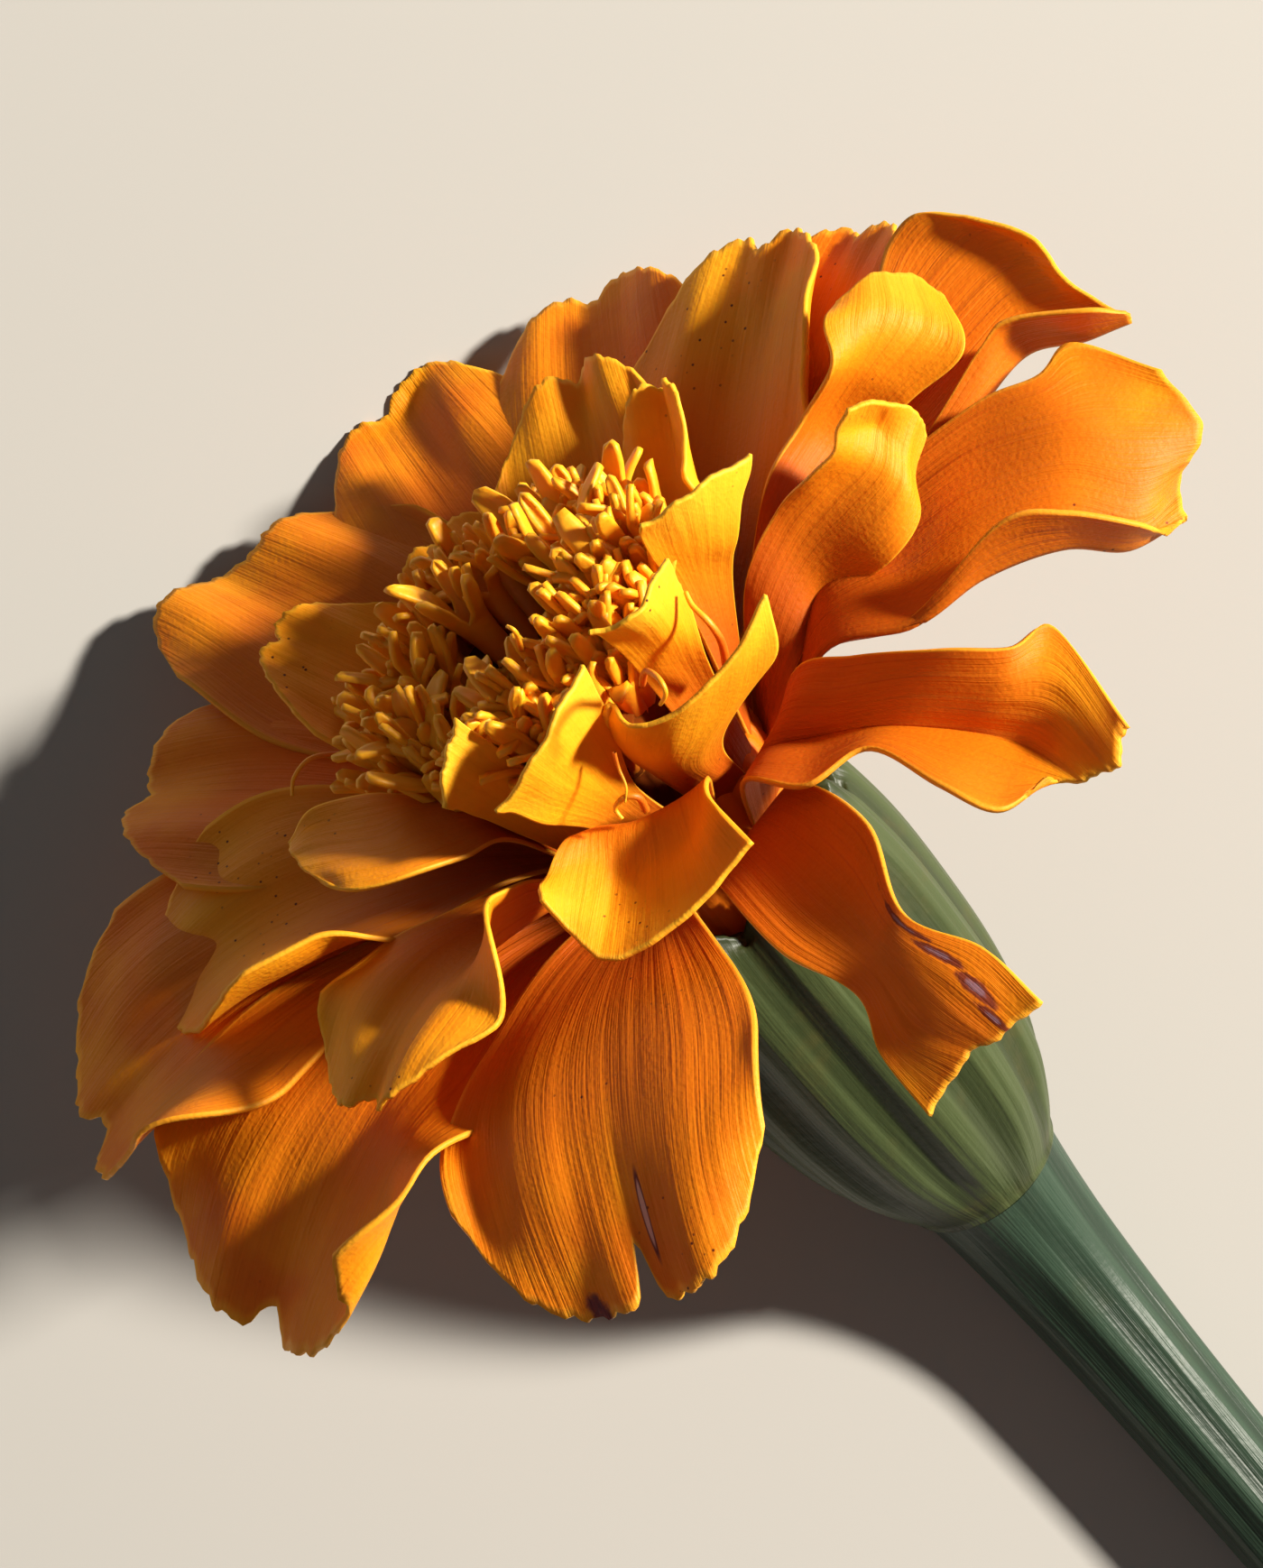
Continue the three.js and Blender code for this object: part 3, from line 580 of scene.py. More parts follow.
def piece_from(bm: bmesh.types.BMesh, name: str, material: bpy.types.Material) -> bpy.types.Object:
    """Makes a smooth shaded piece from a bmesh.

    Args:
        bm: the mesh, in metres, where the piece is. It is freed.
        name: the piece's name.
        material: its finish.

    Returns:
        The piece, linked to the scene.
    """
    mesh = bpy.data.meshes.new(name)
    for face in bm.faces:
        face.smooth = True
    bm.to_mesh(mesh)
    bm.free()
    mesh.materials.append(material)
    made = bpy.data.objects.new(name, mesh)
    bpy.context.scene.collection.objects.link(made)
    return made


def give_wall(
    piece: bpy.types.Object, name: str, thickness: float, offset: float = 0.0
) -> bpy.types.Modifier:
    """Gives a thin piece a wall.

    Args:
        piece: the piece.
        name: the modifier's name.
        thickness: how thick the wall is, in millimetres.
        offset: 0 where the skin lies in the wall's middle, and -1 where it lies outside.

    Returns:
        The modifier.
    """
    wall = piece.modifiers.new(name, "SOLIDIFY")
    wall.thickness = thickness * MM
    wall.offset = offset
    return wall


def dress(piece: bpy.types.Object, node: str) -> bpy.types.Object:
    """Puts a piece in its CAD node's place, on the part's one body.

    Args:
        piece: the finished piece.
        node: the CAD node that it stands for.

    Returns:
        The piece.
    """
    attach(piece, "root")
    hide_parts(node)
    LOG.info("%s: %d faces, for %s", piece.name, len(piece.data.polygons), node)
    return piece


# ---------------------------------------------------------------- ray florets
@dataclass(frozen=True)
class Fold:
    """A crease along a ray floret, past which the blade turns up towards its edge, or down.

    place and width are shares across the half blade, with the sign of place telling which half, and start
    and end are shares along it. The crease fades in from start and out after end. angle is in degrees.
    """

    place: float
    angle: float
    start: float = 0.3
    end: float = 3.0
    width: float = 0.25

    def turn(self, m: float, t: float) -> float:
        """Returns the degrees that it turns the section at share m across and t along."""
        if m * self.place <= 0.0:
            return 0.0
        past = ease(abs(self.place), abs(self.place) + self.width, abs(m))
        strength = ease(self.start, self.start + 0.25, t) * (1.0 - ease(self.end, self.end + 0.25, t))
        return math.copysign(self.angle, m) * past * strength


@dataclass(frozen=True)
class RayFloret:
    """One ray floret: a blade that springs from the sleeve of tubes in the calyx. Millimetres and degrees.

    base, mid and tip are the distance from the axis and the height of the midrib's curve, which leaves base
    towards mid and reaches tip.
    """

    at: float
    tip: tuple[float, float]
    mid: tuple[float, float]
    half: float
    base: tuple[float, float] = (3.9, 0.0)
    wide: float = 0.64
    claw: float = 0.2
    sweep: float = 0.0
    turn: float = 0.0
    cup: float = 12.0
    pleat: float = 20.0
    pleats: float = 2.2
    round: float = 0.28
    corner: float = 2.6
    skew: float = 0.0
    ruffle: float = 0.25
    frill: float = 0.22
    notches: tuple[Triple, ...] = ((0.05, 0.04, 0.12),)
    folds: tuple[Fold, ...] = ()
    marks: tuple[Mark, ...] = ()

    def reach(self, s: float) -> float:
        """Returns how far the blade reaches at share s (-1 to 1) across it, as a share of its length."""
        reach = 1.0 - self.round * abs(s) ** self.corner + self.skew * s
        for place, depth, width in self.notches:
            reach -= depth * math.exp(-(((s - place) / width) ** 2))
        teeth = math.sin(41.0 * s + self.at) + 0.7 * math.sin(67.0 * s + 2.0 * self.at)
        return reach + 0.004 * teeth

    def surface(self, s: float, v: float) -> Vector:
        """Works out a point of the blade's middle surface.

        Args:
            s: share across the blade, -1 at the edge of lower azimuth and 1 at the other.
            v: share along it, from 0 at the claw to 1 at the end.

        Returns:
            The point in the flower's frame.
        """
        t = v * self.reach(s)
        u = 1.0 - t
        midrib = tuple(zip(self.base, self.mid, self.tip))
        out, height = (u * u * a + 2 * u * t * b + t * t * c for a, b, c in midrib)
        run, rise = (u * (b - a) + t * (c - b) for a, b, c in midrib)
        steep = math.hypot(run, rise)
        azimuth = math.radians(self.at + self.sweep * t * t)
        outward = polar(1.0, azimuth)
        around = polar(1.0, azimuth + math.pi / 2)
        inner = outward * (-rise / steep) + Vector((0.0, 0.0, run / steep))
        lean = math.radians(self.turn)
        side = around * math.cos(lean) + inner * math.sin(lean)
        normal = inner * math.cos(lean) - around * math.sin(lean)
        x, y = self.section(s, t)
        y += self.waves(s, v, t)
        return outward * out + Vector((0.0, 0.0, height)) + side * x + normal * y

    def section(self, s: float, t: float) -> tuple[float, float]:
        """Works out the blade's cross-section, bent by its cup, pleats and folds.

        Args:
            s: share across the blade.
            t: share along the midrib.

        Returns:
            How far the point lies sideways and how far above the midrib.
        """
        opened = ease(0.12, 0.85, t)
        half = self.half * mix(self.claw, 1.0, ease(0.0, self.wide, t) ** 0.9)
        half *= 1.0 - 0.12 * ease(self.wide, 1.0, t)
        arch = mix(60.0, self.cup, ease(0.0, 0.4, t))
        steps = 12
        x = y = 0.0
        for i in range(steps):
            m = s * (i + 0.5) / steps
            wave = self.pleat * math.sin(math.pi * self.pleats * m)
            turned = sum(fold.turn(m, t) for fold in self.folds)
            angle = math.radians(arch * m + opened * wave + turned)
            x += math.cos(angle) * s * half / steps
            y += math.sin(angle) * s * half / steps
        return x, y

    def waves(self, s: float, v: float, t: float) -> float:
        """Returns how far the ruffles lift the blade at a place on it."""
        late = ease(0.3, 1.0, t)
        lift = self.ruffle * late * (0.3 + 0.7 * s * s) * math.sin(7.0 * t + 5.3 * s + self.at)
        lift += self.frill * late * ease(0.45, 1.0, abs(s)) * math.sin(19.0 * t + 2.0 * s + 3.0 * self.at)
        end_wave = math.sin(8.5 * s + 0.7 * math.sin(5.0 * s) + 5.0 * self.at)
        return lift + self.frill * ease(0.72, 1.0, v) * end_wave


def through(points: list[Vector], share: float) -> Vector:
    """Returns the place at a share, 0 to 1, along a smooth curve through points."""
    last = len(points) - 1
    whole = min(last - 1, max(0, int(share * last)))
    t = share * last - whole
    b, c = points[whole], points[whole + 1]
    a = points[whole - 1] if whole else b * 2 - c
    d = points[whole + 2] if whole + 2 <= last else c * 2 - b
    return (b * 2 + (c - a) * t + (a * 2 - b * 5 + c * 4 - d) * t**2 + (b * 3 - c * 3 + d - a) * t**3) / 2


@dataclass(frozen=True)
class DrawnFloret:
    """One ray floret drawn after the picture, for blades that curl too freely for RayFloret.

    rows lead from above the claw to the end. Each holds points from the side of lower azimuth to the other:
    where the picture shows the point, in pixels from its left and from its top, and the point's height.
    crease is the place in the rows of the points along a sharp crease, where there is one.
    """

    at: float
    rows: tuple[tuple[Triple, ...], ...]
    base: tuple[float, float] = (3.9, 0.0)
    spread: float = 14.0
    ruffle: float = 0.1
    teeth: float = 0.006
    crease: int = 0
    marks: tuple[Mark, ...] = ()

    @cached_property
    def net(self) -> list[list[Vector]]:
        """The claw's points and those of the rows, in the flower's frame."""
        count = len(self.rows[0])
        azimuths = [math.radians(self.at + self.spread * (2 * i / (count - 1) - 1)) for i in range(count)]
        claw = [polar(self.base[0], azimuth, self.base[1]) for azimuth in azimuths]
        return [claw] + [[SIGHT.point(*place) for place in row] for row in self.rows]

    def across(self, row: list[Vector], share: float) -> Vector:
        """Returns the place at a share, 0 to 1, across a row, with a corner at the crease."""
        turn = self.crease / (len(row) - 1)
        if share < turn:
            return through(row[: self.crease + 1], share / turn)
        return through(row[self.crease :], (share - turn) / (1.0 - turn))

    def surface(self, s: float, v: float) -> Vector:
        """Works out a point of the blade's middle surface.

        Args:
            s: share across the blade, -1 at the edge of lower azimuth and 1 at the other.
            v: share along it, from 0 at the claw to 1 at the end.

        Returns:
            The point in the flower's frame.
        """
        scallops = math.sin(9.0 * s + self.at) + 0.35 * math.sin(29.0 * s + 2.0 * self.at)
        reached = v * (1.0 + self.teeth * scallops * v**6)
        place = through([self.across(row, (s + 1.0) / 2.0) for row in self.net], reached)
        lift = math.sin(9.0 * v + 4.0 * s + self.at) + 0.6 * math.sin(21.0 * v - 3.0 * s)
        return place + Vector((0.0, 0.0, self.ruffle * lift * ease(0.3, 1.0, v) * abs(s)))


class Whorl(Enum):
    """The layers of ray florets, each with the height of its claws."""

    OUTER = -0.2
    MIDDLE = 0.7
    INNER = 1.6


def outer_whorl() -> dict[str, RayFloret | DrawnFloret]:
    """Returns the twelve broad outer florets, named by where they stand."""
    slit = Mark(MarkKind.SLIT, 0.60, 0.86, 0.012, 0.075)
    spot = Mark(MarkKind.SPOT, 0.36, 0.99, 0.05, 0.03)
    withered = tuple(
        Mark(MarkKind.WITHERED, u, v, wide, 0.08)
        for u, v, wide in ((0.9, 0.62, 0.03), (0.84, 0.74, 0.035), (0.8, 0.86, 0.045), (0.74, 0.95, 0.03))
    )
    return {
        "front": RayFloret(
            238, (23.3, -1.2), (15, 6.5), 6.5, wide=0.6, cup=-8, pleat=8, round=0.24, corner=4, skew=0.02,
            sweep=2, notches=((0.07, 0.11, 0.045),),
            folds=(Fold(-0.75, 45, 0.5, width=0.2), Fold(0.8, -40, 0.45, 0.6)),
            marks=(slit, spot),
        ),
        "front_left": RayFloret(
            197, (24.2, -1.0), (14, 6), 7.8, wide=0.78, turn=-18, pleat=6, cup=0, round=0.2, skew=0.03,
            notches=((-0.02, 0.05, 0.08),),
            folds=(
                Fold(0.08, -20, 0.4, width=0.15),
                Fold(0.35, 22, 0.45, width=0.2),
                Fold(0.78, 125, 0.68, width=0.1),
            ),
        ),
        "left": RayFloret(
            169, (24.6, 3), (14, 8), 6.8, wide=0.8, turn=-14, cup=4, pleat=10, round=0.2, skew=0.04,
            folds=(Fold(0.4, 60, 0.6),),
        ),
        "left_far": RayFloret(137, (20.8, 7.2), (13, 7), 5.8, cup=8, frill=0.12),
        "far_left": RayFloret(
            110, (21.6, 9), (13, 7), 5.6, cup=8, skew=0.1, round=0.22, corner=5, frill=0.1,
            notches=((-0.2, 0.03, 0.2),),
        ),
        "far": RayFloret(87, (22.8, 8.8), (13, 7), 5.3, cup=8, frill=0.1, skew=-0.05),
        "far_right": RayFloret(62, (22, 8.4), (13, 7), 6, cup=8, frill=0.1),
        "far_behind": RayFloret(28, (21.8, 8), (13, 7), 5.6, cup=8, round=0.35),
        "right_far": DrawnFloret(
            3,
            (
                ((905, 600, 4.6), (910, 612, 4.4), (895, 592, 5.2), (880, 570, 5.8), (868, 545, 6.4)),
                ((1012, 500, 5.6), (1018, 532, 4.8), (990, 480, 5.8), (960, 430, 6.8), (935, 400, 7.6)),
                ((1086, 386, 7.0), (1078, 462, 5.3), (1060, 400, 6.4), (1020, 345, 7.6), (970, 320, 8.6)),
                ((1118, 352, 7.4), (1138, 393, 5.5), (1120, 335, 6.6), (1070, 285, 7.9), (984, 272, 9.0)),
                ((1203, 345, 6.6), (1205, 377, 5.2), (1165, 318, 6.5), (1112, 262, 7.9), (1018, 240, 9.2)),
                ((1248, 347, 5.6), (1256, 354, 5.2), (1187, 315, 6.6), (1145, 266, 7.8), (1070, 238, 9.0)),
            ),
            crease=1,
        ),
        "right": DrawnFloret(
            341,
            (
                ((905, 728, 3.6), (912, 724, 3.8), (905, 690, 4.2), (900, 640, 4.8), (900, 590, 5.6)),
                ((1005, 690, 3.8), (1015, 694, 3.8), (1005, 630, 4.3), (995, 570, 5.0), (990, 515, 6.0)),
                ((1105, 582, 5.5), (1090, 640, 3.9), (1085, 575, 4.5), (1080, 510, 5.2), (1085, 445, 6.2)),
                ((1180, 566, 4.9), (1180, 607, 3.2), (1180, 545, 4.0), (1175, 480, 4.9), (1148, 416, 6.0)),
                ((1262, 580, 2.9), (1255, 609, 1.5), (1262, 560, 2.3), (1250, 480, 3.7), (1190, 383, 5.5)),
                ((1292, 594, 1.2), (1317, 574, 0.8), (1307, 527, 1.5), (1334, 480, 1.9), (1290, 411, 3.9)),
            ),
            crease=1,
        ),
        "right_near": DrawnFloret(
            306,
            (
                ((825, 866, 3.6), (842, 838, 2.9), (865, 795, 3.6), (880, 748, 4.2)),
                ((893, 872, 3.8), (912, 816, 2.7), (930, 780, 3.8), (950, 726, 4.9)),
                ((962, 830, 3.5), (985, 806, 2.8), (1012, 765, 3.7), (1040, 720, 4.7)),
                ((1040, 870, 3.0), (1072, 812, 1.8), (1100, 768, 2.8), (1120, 718, 3.7)),
                ((1110, 902, 1.5), (1140, 828, 0.9), (1172, 775, 1.8), (1170, 697, 2.7)),
                ((1158, 862, 0.9), (1195, 866, 0.4), (1237, 850, 0.5), (1247, 800, 1.3)),
            ),
            crease=1,
        ),
        "front_right": DrawnFloret(
            276,
            (
                ((800, 985, 2.2), (822, 955, 2.1), (850, 915, 2.2), (885, 868, 2.8)),
                ((866, 1056, 2.0), (890, 1025, 1.9), (925, 975, 2.1), (962, 912, 3.0)),
                ((952, 1104, 0.6), (965, 1080, 1.1), (985, 1045, 1.6), (1002, 1012, 2.0)),
                ((978, 1170, -0.6), (1008, 1142, -0.1), (1050, 1102, 0.5), (1090, 1050, 0.9)),
                ((1028, 1234, -1.9), (1072, 1172, -1.1), (1108, 1150, -0.9), (1152, 1108, -0.4)),
            ),
            marks=withered,
        ),
    }


def middle_whorl() -> dict[str, RayFloret | DrawnFloret]:
    """Returns the ten florets that stand above the outer ones."""
    return {
        "left": RayFloret(
            165, (19.6, 4.6), (12, 7.4), 5.6, turn=-12, cup=14, skew=-0.02, frill=0.1,
            folds=(Fold(0.45, 65, 0.3),),
        ),
        "front_left": RayFloret(
            208, (17.2, 4.2), (10.5, 6.8), 4.6, cup=5, folds=(Fold(0.3, 70, 0.1, 0.45), Fold(0.5, -25, 0.65)),
        ),
        "front": DrawnFloret(
            262,
            (
                ((640, 928, 5.8), (668, 918, 5.4), (705, 912, 5.1), (750, 890, 4.8), (788, 864, 4.9)),
                ((604, 974, 6.4), (655, 962, 5.4), (700, 972, 4.6), (762, 942, 4.6), (787, 884, 5.6)),
                ((599, 996, 6.7), (640, 1042, 5.2), (690, 1064, 4.3), (778, 1001, 4.6), (831, 930, 5.4)),
            ),
        ),
        "right": DrawnFloret(
            348,
            (
                ((882, 742, 3.2), (872, 715, 4.0), (848, 690, 5.0), (826, 655, 6.2)),
                ((915, 672, 4.0), (905, 640, 5.2), (880, 605, 6.6), (860, 568, 8.0)),
                ((988, 622, 4.8), (965, 590, 6.0), (925, 548, 7.5), (897, 528, 8.8)),
                ((1016, 575, 5.4), (1000, 545, 6.6), (960, 510, 8.0), (922, 502, 9.2)),
                ((1013, 527, 6.2), (1003, 500, 7.3), (968, 470, 8.6), (930, 480, 9.6)),
                ((1026, 484, 6.8), (1015, 456, 7.9), (980, 446, 9.3), (940, 453, 10.2)),
            ),
        ),
        "right_far": DrawnFloret(
            4,
            (
                ((880, 620, 5.4), (868, 600, 6.0), (856, 580, 6.6), (842, 565, 7.2)),
                ((945, 510, 5.8), (925, 490, 6.6), (905, 475, 7.5), (888, 468, 8.4)),
                ((1015, 438, 6.7), (985, 418, 7.7), (950, 402, 8.9), (922, 408, 9.8)),
                ((1071, 388, 7.1), (1030, 365, 8.2), (975, 350, 9.6), (914, 362, 10.6)),
                ((1046, 330, 8.0), (1015, 308, 9.0), (972, 305, 10.1), (925, 333, 10.6)),
            ),
        ),
        "far_right": RayFloret(38, (20.8, 9), (11, 6), 5.8, cup=14, folds=(Fold(-0.5, 50, 0.4),)),
        "left_small": DrawnFloret(
            163,
            (
                ((545, 893, 6.1), (550, 905, 6.2), (556, 918, 6.1), (566, 931, 5.9)),
                ((470, 884, 7.8), (467, 905, 7.9), (488, 932, 7.5), (516, 950, 7.1)),
                ((408, 882, 8.7), (420, 926, 8.4), (436, 950, 8.4), (457, 970, 8.2)),
                ((348, 898, 9.2), (358, 935, 8.9), (374, 960, 8.9), (395, 986, 8.7)),
                ((318, 932, 9.2), (325, 949, 9.1), (339, 966, 9.0), (364, 980, 8.9)),
            ),
        ),
        "far": RayFloret(60, (15, 10), (9, 6.2), 4.4, cup=20, pleat=14, folds=(Fold(-0.5, 50, 0.4),)),
        "far_left": RayFloret(122, (14.2, 10.2), (9, 6), 3.3, cup=20, pleat=14, frill=0.12),
        "far_low": RayFloret(93, (13, 8.4), (9, 6), 3.4, cup=20, pleat=14, frill=0.12),
    }


def inner_whorl() -> dict[str, RayFloret | DrawnFloret]:
    """Returns the six small upright florets round the crest, which end in a point."""
    drawn = {
        "curled": (
            296,
            (
                ((692, 832, 6.0), (715, 850, 5.6), (745, 854, 5.2), (775, 843, 5.0), (800, 815, 5.0)),
                ((668, 800, 8.3), (695, 825, 7.6), (745, 825, 7.2), (805, 780, 7.4), (857, 722, 8.2)),
                ((676, 776, 9.3), (702, 806, 9.2), (758, 784, 9.2), (815, 722, 9.8), (850, 660, 10.6)),
            ),
        ),
        "front": (
            256,
            (
                ((655, 918, 5.2), (685, 890, 5.2), (703, 868, 5.4)),
                ((600, 912, 7.4), (642, 858, 8.0), (678, 800, 8.4)),
                ((547, 897, 9.4), (603, 822, 10.4), (642, 733, 11.1)),
            ),
        ),
        "front_left": (
            226,
            (
                ((556, 915, 6.6), (583, 893, 6.8), (606, 868, 7.2)),
                ((487, 890, 9.7), (494, 840, 10.7), (505, 795, 11.5)),
            ),
        ),
        "near": (
            312,
            (
                ((722, 762, 7.8), (757, 742, 7.5), (786, 735, 7.1)),
                ((684, 718, 10.4), (732, 700, 10.1), (764, 672, 9.7)),
                ((652, 700, 12.0), (709, 676, 11.8), (735, 614, 12.0)),
            ),
        ),
        "right": (
            344,
            (
                ((756, 662, 8.2), (785, 655, 7.6), (811, 645, 7.1)),
                ((722, 618, 10.5), (775, 600, 9.9), (818, 592, 9.1)),
                ((707, 580, 12.2), (765, 548, 12.0), (828, 500, 11.4)),
            ),
        ),
    }
    whorl = {name: DrawnFloret(at, rows, ruffle=INNER_RUFFLE) for name, (at, rows) in drawn.items()}
    whorl["far_right"] = RayFloret(
        36, (11.6, 10.8), (8, 5.2), 2.7, cup=30, pleat=14, folds=(Fold(-0.3, 50, 0.5),),
    )
    return whorl


@dataclass
class RayFlorets:
    """All the ray florets, whorl by whorl, and the sleeve of their tubes. Millimetres."""

    thickness: float = 0.18
    across: int = 64
    along: int = 60
    claw_radius: float = 3.9
    claw_sink: float = -0.02
    sleeve_radius: float = 4.25
    sleeve_taper: float = 0.6
    sleeve_bottom: float = -16.9
    sleeve_top: float = 2.2
    sleeve_steps: int = 36
    groove: float = 0.16
    tubes: int = 28

    def whorls(self) -> dict[Whorl, dict[str, RayFloret | DrawnFloret]]:
        """Returns the florets of each whorl."""
        return {Whorl.OUTER: outer_whorl(), Whorl.MIDDLE: middle_whorl(), Whorl.INNER: inner_whorl()}

    def blade(self, floret: RayFloret | DrawnFloret) -> bmesh.types.BMesh:
        """Shapes one blade from a grid.

        Args:
            floret: the floret's form.

        Returns:
            The blade's middle surface, in metres on the table, with its map.
        """
        bm = bmesh.new()
        bm.loops.layers.uv.new("UVMap")
        bmesh.ops.create_grid(bm, x_segments=self.across, y_segments=self.along, size=1.0, calc_uvs=True)
        place = POSE.matrix()
        for vert in bm.verts:
            s, v = vert.co.x, mix(self.claw_sink, 1.0, (vert.co.y + 1.0) / 2.0)
            vert.co = place @ POSE.pressed(floret.surface(s, v), self.thickness / 2)
        return bm

    def sleeve(self) -> bmesh.types.BMesh:
        """Returns the sleeve of close tubes from which the blades spring, with a hollow top."""
        profile = curve_through(
            (
                (0.4, self.sleeve_bottom),
                (self.sleeve_radius - self.sleeve_taper, self.sleeve_bottom),
                (self.sleeve_radius, -10.0),
                (self.sleeve_radius, -3.0),
                (self.sleeve_radius, self.sleeve_top - 0.5),
                (self.sleeve_radius - 0.5, self.sleeve_top),
                (3.3, self.sleeve_top - 0.3),
                (3.1, -2.0),
            ),
            self.sleeve_steps,
        )

        def point(u: float, v: float) -> Vector:
            """Returns the place of the corner at share u round and v along."""
            radius, height = profile[round(v * self.sleeve_steps)]
            groove = self.groove * abs(math.sin(math.pi * u * self.tubes)) - self.groove
            return POSE.matrix() @ polar(max(0.1, radius + groove), 2 * math.pi * u, height)

        bm = bmesh.new()
        drawn_in_rings(bm, self.tubes * 6, self.sleeve_steps + 1, point)
        return bm

    def build(self) -> list[bpy.types.Object]:
        """Builds and dresses every floret and the sleeve.

        Returns:
            The pieces.
        """
        finishes = {
            Whorl.OUTER: FloretFinish("outer_floret_skin"),
            # The middle florets' deep throat colour reaches up to 0.75 of the blade: partly their own deeper
            # throats, partly painted shade that falls in their cups.
            Whorl.MIDDLE: FloretFinish(
                "middle_floret_skin_and_shade", throat=(0.40, 0.062, 0.001), blade=(0.88, 0.26, 0.003),
                tip=(0.95, 0.38, 0.010), streaks=0.22, throat_end=0.75,
            ),
            Whorl.INNER: FloretFinish(
                "inner_floret_skin", blade=(0.92, 0.34, 0.006), tip=(1.0, 0.46, 0.018), streaks=0.12
            ),
        }
        plain = {whorl: finish.material() for whorl, finish in finishes.items()}
        made = []
        for whorl, florets in self.whorls().items():
            for place, form in florets.items():
                floret = replace(form, base=(self.claw_radius, whorl.value))
                name = f"{whorl.name.lower()}_floret_{place}"
                material = plain[whorl]
                if floret.marks:
                    material = replace(finishes[whorl], name=name + "_skin", marks=floret.marks).material()
                piece = piece_from(self.blade(floret), name, material)
                give_wall(piece, "blade", self.thickness)
                made.append(dress(piece, "ray_florets"))
        sleeve = piece_from(self.sleeve(), "ray_floret_tubes", plain[Whorl.OUTER])
        made.append(dress(sleeve, "ray_florets"))
        return made


# ---------------------------------------------------------------- disc florets
@dataclass
class DiscCrest:
    """The lopsided ring of disc florets round a hollow with a core painted near black as its shade, on the
    bundle of their tubes.

    Millimetres and degrees. The crest's edge reaches out by lean at lean_azimuth and falls back by dip at
    dip_azimuth. tube holds the radius of each ring of a floret's tube and the share of its height, and
    tube_share is the tube's share of the floret's map.
    """

    mean: float = 7.5
    lean: float = 2.4
    lean_azimuth: float = 122.0
    mouth_height: float = 8.5
    margin: float = 0.9
    dip: float = 2.2
    dip_azimuth: float = 208.0
    dip_width: float = 36.0
    pit: float = 3.0
    pit_lean: float = 1.5
    rise: float = 0.6
    root: float = 4.4
    bundle: float = 2.75
    bottom: float = -16.9
    florets: int = 124
    buds: int = 36
    groups: int = 6
    flesh: float = 0.24
    tube: tuple[tuple[float, float], ...] = ((0.30, 0.0), (0.34, 0.5), (0.44, 0.85), (0.60, 1.0))
    tube_share: float = 0.55
    lobes: int = 5
    lobe_widths: tuple[float, ...] = (0.30, 0.35, 0.34, 0.22)
    blunt: float = 0.12
    broad_share: float = 0.07
    edge_crease: float = 0.55
    core_steps: int = 48
    seed: int = 7

    def edge(self, azimuth: float) -> float:
        """Returns the crest's outer radius at an azimuth in radians."""
        away = (azimuth - math.radians(self.dip_azimuth) + math.pi) % (2 * math.pi) - math.pi
        dip = self.dip * math.exp(-((away / math.radians(self.dip_width)) ** 2))
        return self.mean + self.lean * math.cos(azimuth - math.radians(self.lean_azimuth)) - dip

    def core(self) -> bmesh.types.BMesh:
        """Returns the fleshy ring in which the florets are rooted, and the bundle under it."""
        rows = (
            (0.05, 0.0, self.bottom),
            (self.bundle - 0.5, 0.0, self.bottom),
            (self.bundle, 0.0, -12.0),
            (self.bundle, 0.0, 2.5),
            (0.4, 0.5, 4.6),
            (0.2, 0.7, 6.4),
            (0.0, 0.68, 7.4),
            (1.1, 0.4, 7.2),
            (1.2, 0.12, 4.2),
            (0.6, 0.02, 3.6),
            (0.05, 0.0, 3.5),
        )
        profile = curve_through(rows, self.core_steps)

        def point(u: float, v: float) -> Vector:
            """Returns the place of the corner at share u round and v along."""
            extra, share, height = profile[round(v * self.core_steps)]
            azimuth = 2 * math.pi * u
            radius = max(0.03, extra + share * self.edge(azimuth))
            radius += 0.12 * math.sin(31 * azimuth) * min(1.0, radius / 3) * math.cos(9 * height)
            return POSE.matrix() @ polar(radius, azimuth, height)

        bm = bmesh.new()
        drawn_in_rings(bm, 96, self.core_steps + 1, point)
        return bm

    def floret(self, bm: bmesh.types.BMesh, index: int, luck: random.Random) -> None:
        """Adds one floret: a tube that flares into five blunt lobes, or a closed bud down in the hollow.

        Args:
            bm: the mesh that it is added to.
            index: which floret of the crest it is. Those past the open ones are buds.
            luck: the draw of its small differences.
        """
        bud = index >= self.florets
        azimuth = index * GOLDEN_ANGLE + luck.uniform(-0.12, 0.12)
        edge = self.edge(azimuth)
        pit = self.pit + self.pit_lean * math.cos(azimuth - math.radians(self.lean_azimuth))
        share = math.sqrt((index + 0.5) / self.florets)
        radius = mix(pit, edge - self.margin, share)
        tall = self.mouth_height + 0.7 * math.sin(math.pi * share) - 0.9 * share**2
        tall += luck.uniform(-0.8, 0.6)
        tall += self.rise * math.cos(azimuth)
        lean = mix(-0.25, 0.32 + 0.16 * (edge - self.mean), share) + luck.uniform(-0.14, 0.14)
        if bud:
            share = math.sqrt((index - self.florets + 0.5) / self.buds)
            radius, tall, lean = pit * share, 5.8 + 1.2 * share, 0.1
        axis = polar(1.0, azimuth) * lean + polar(1.0, azimuth + math.pi / 2) * luck.uniform(-0.2, 0.2)
        axis = (axis + Vector((0.0, 0.0, 1.0))).normalized()
        mouth = polar(radius, azimuth, tall)
        root = polar(radius * 0.6, azimuth, self.root)
        size = luck.uniform(0.8, 1.15)
        turn = Vector((0.0, 0.0, 1.0)).rotation_difference(axis).to_matrix().to_4x4()
        turn = turn @ Matrix.Rotation(luck.uniform(0.0, 2 * math.pi), 4, "Z") @ Matrix.Scale(size, 4)
        sides = 2 * self.lobes

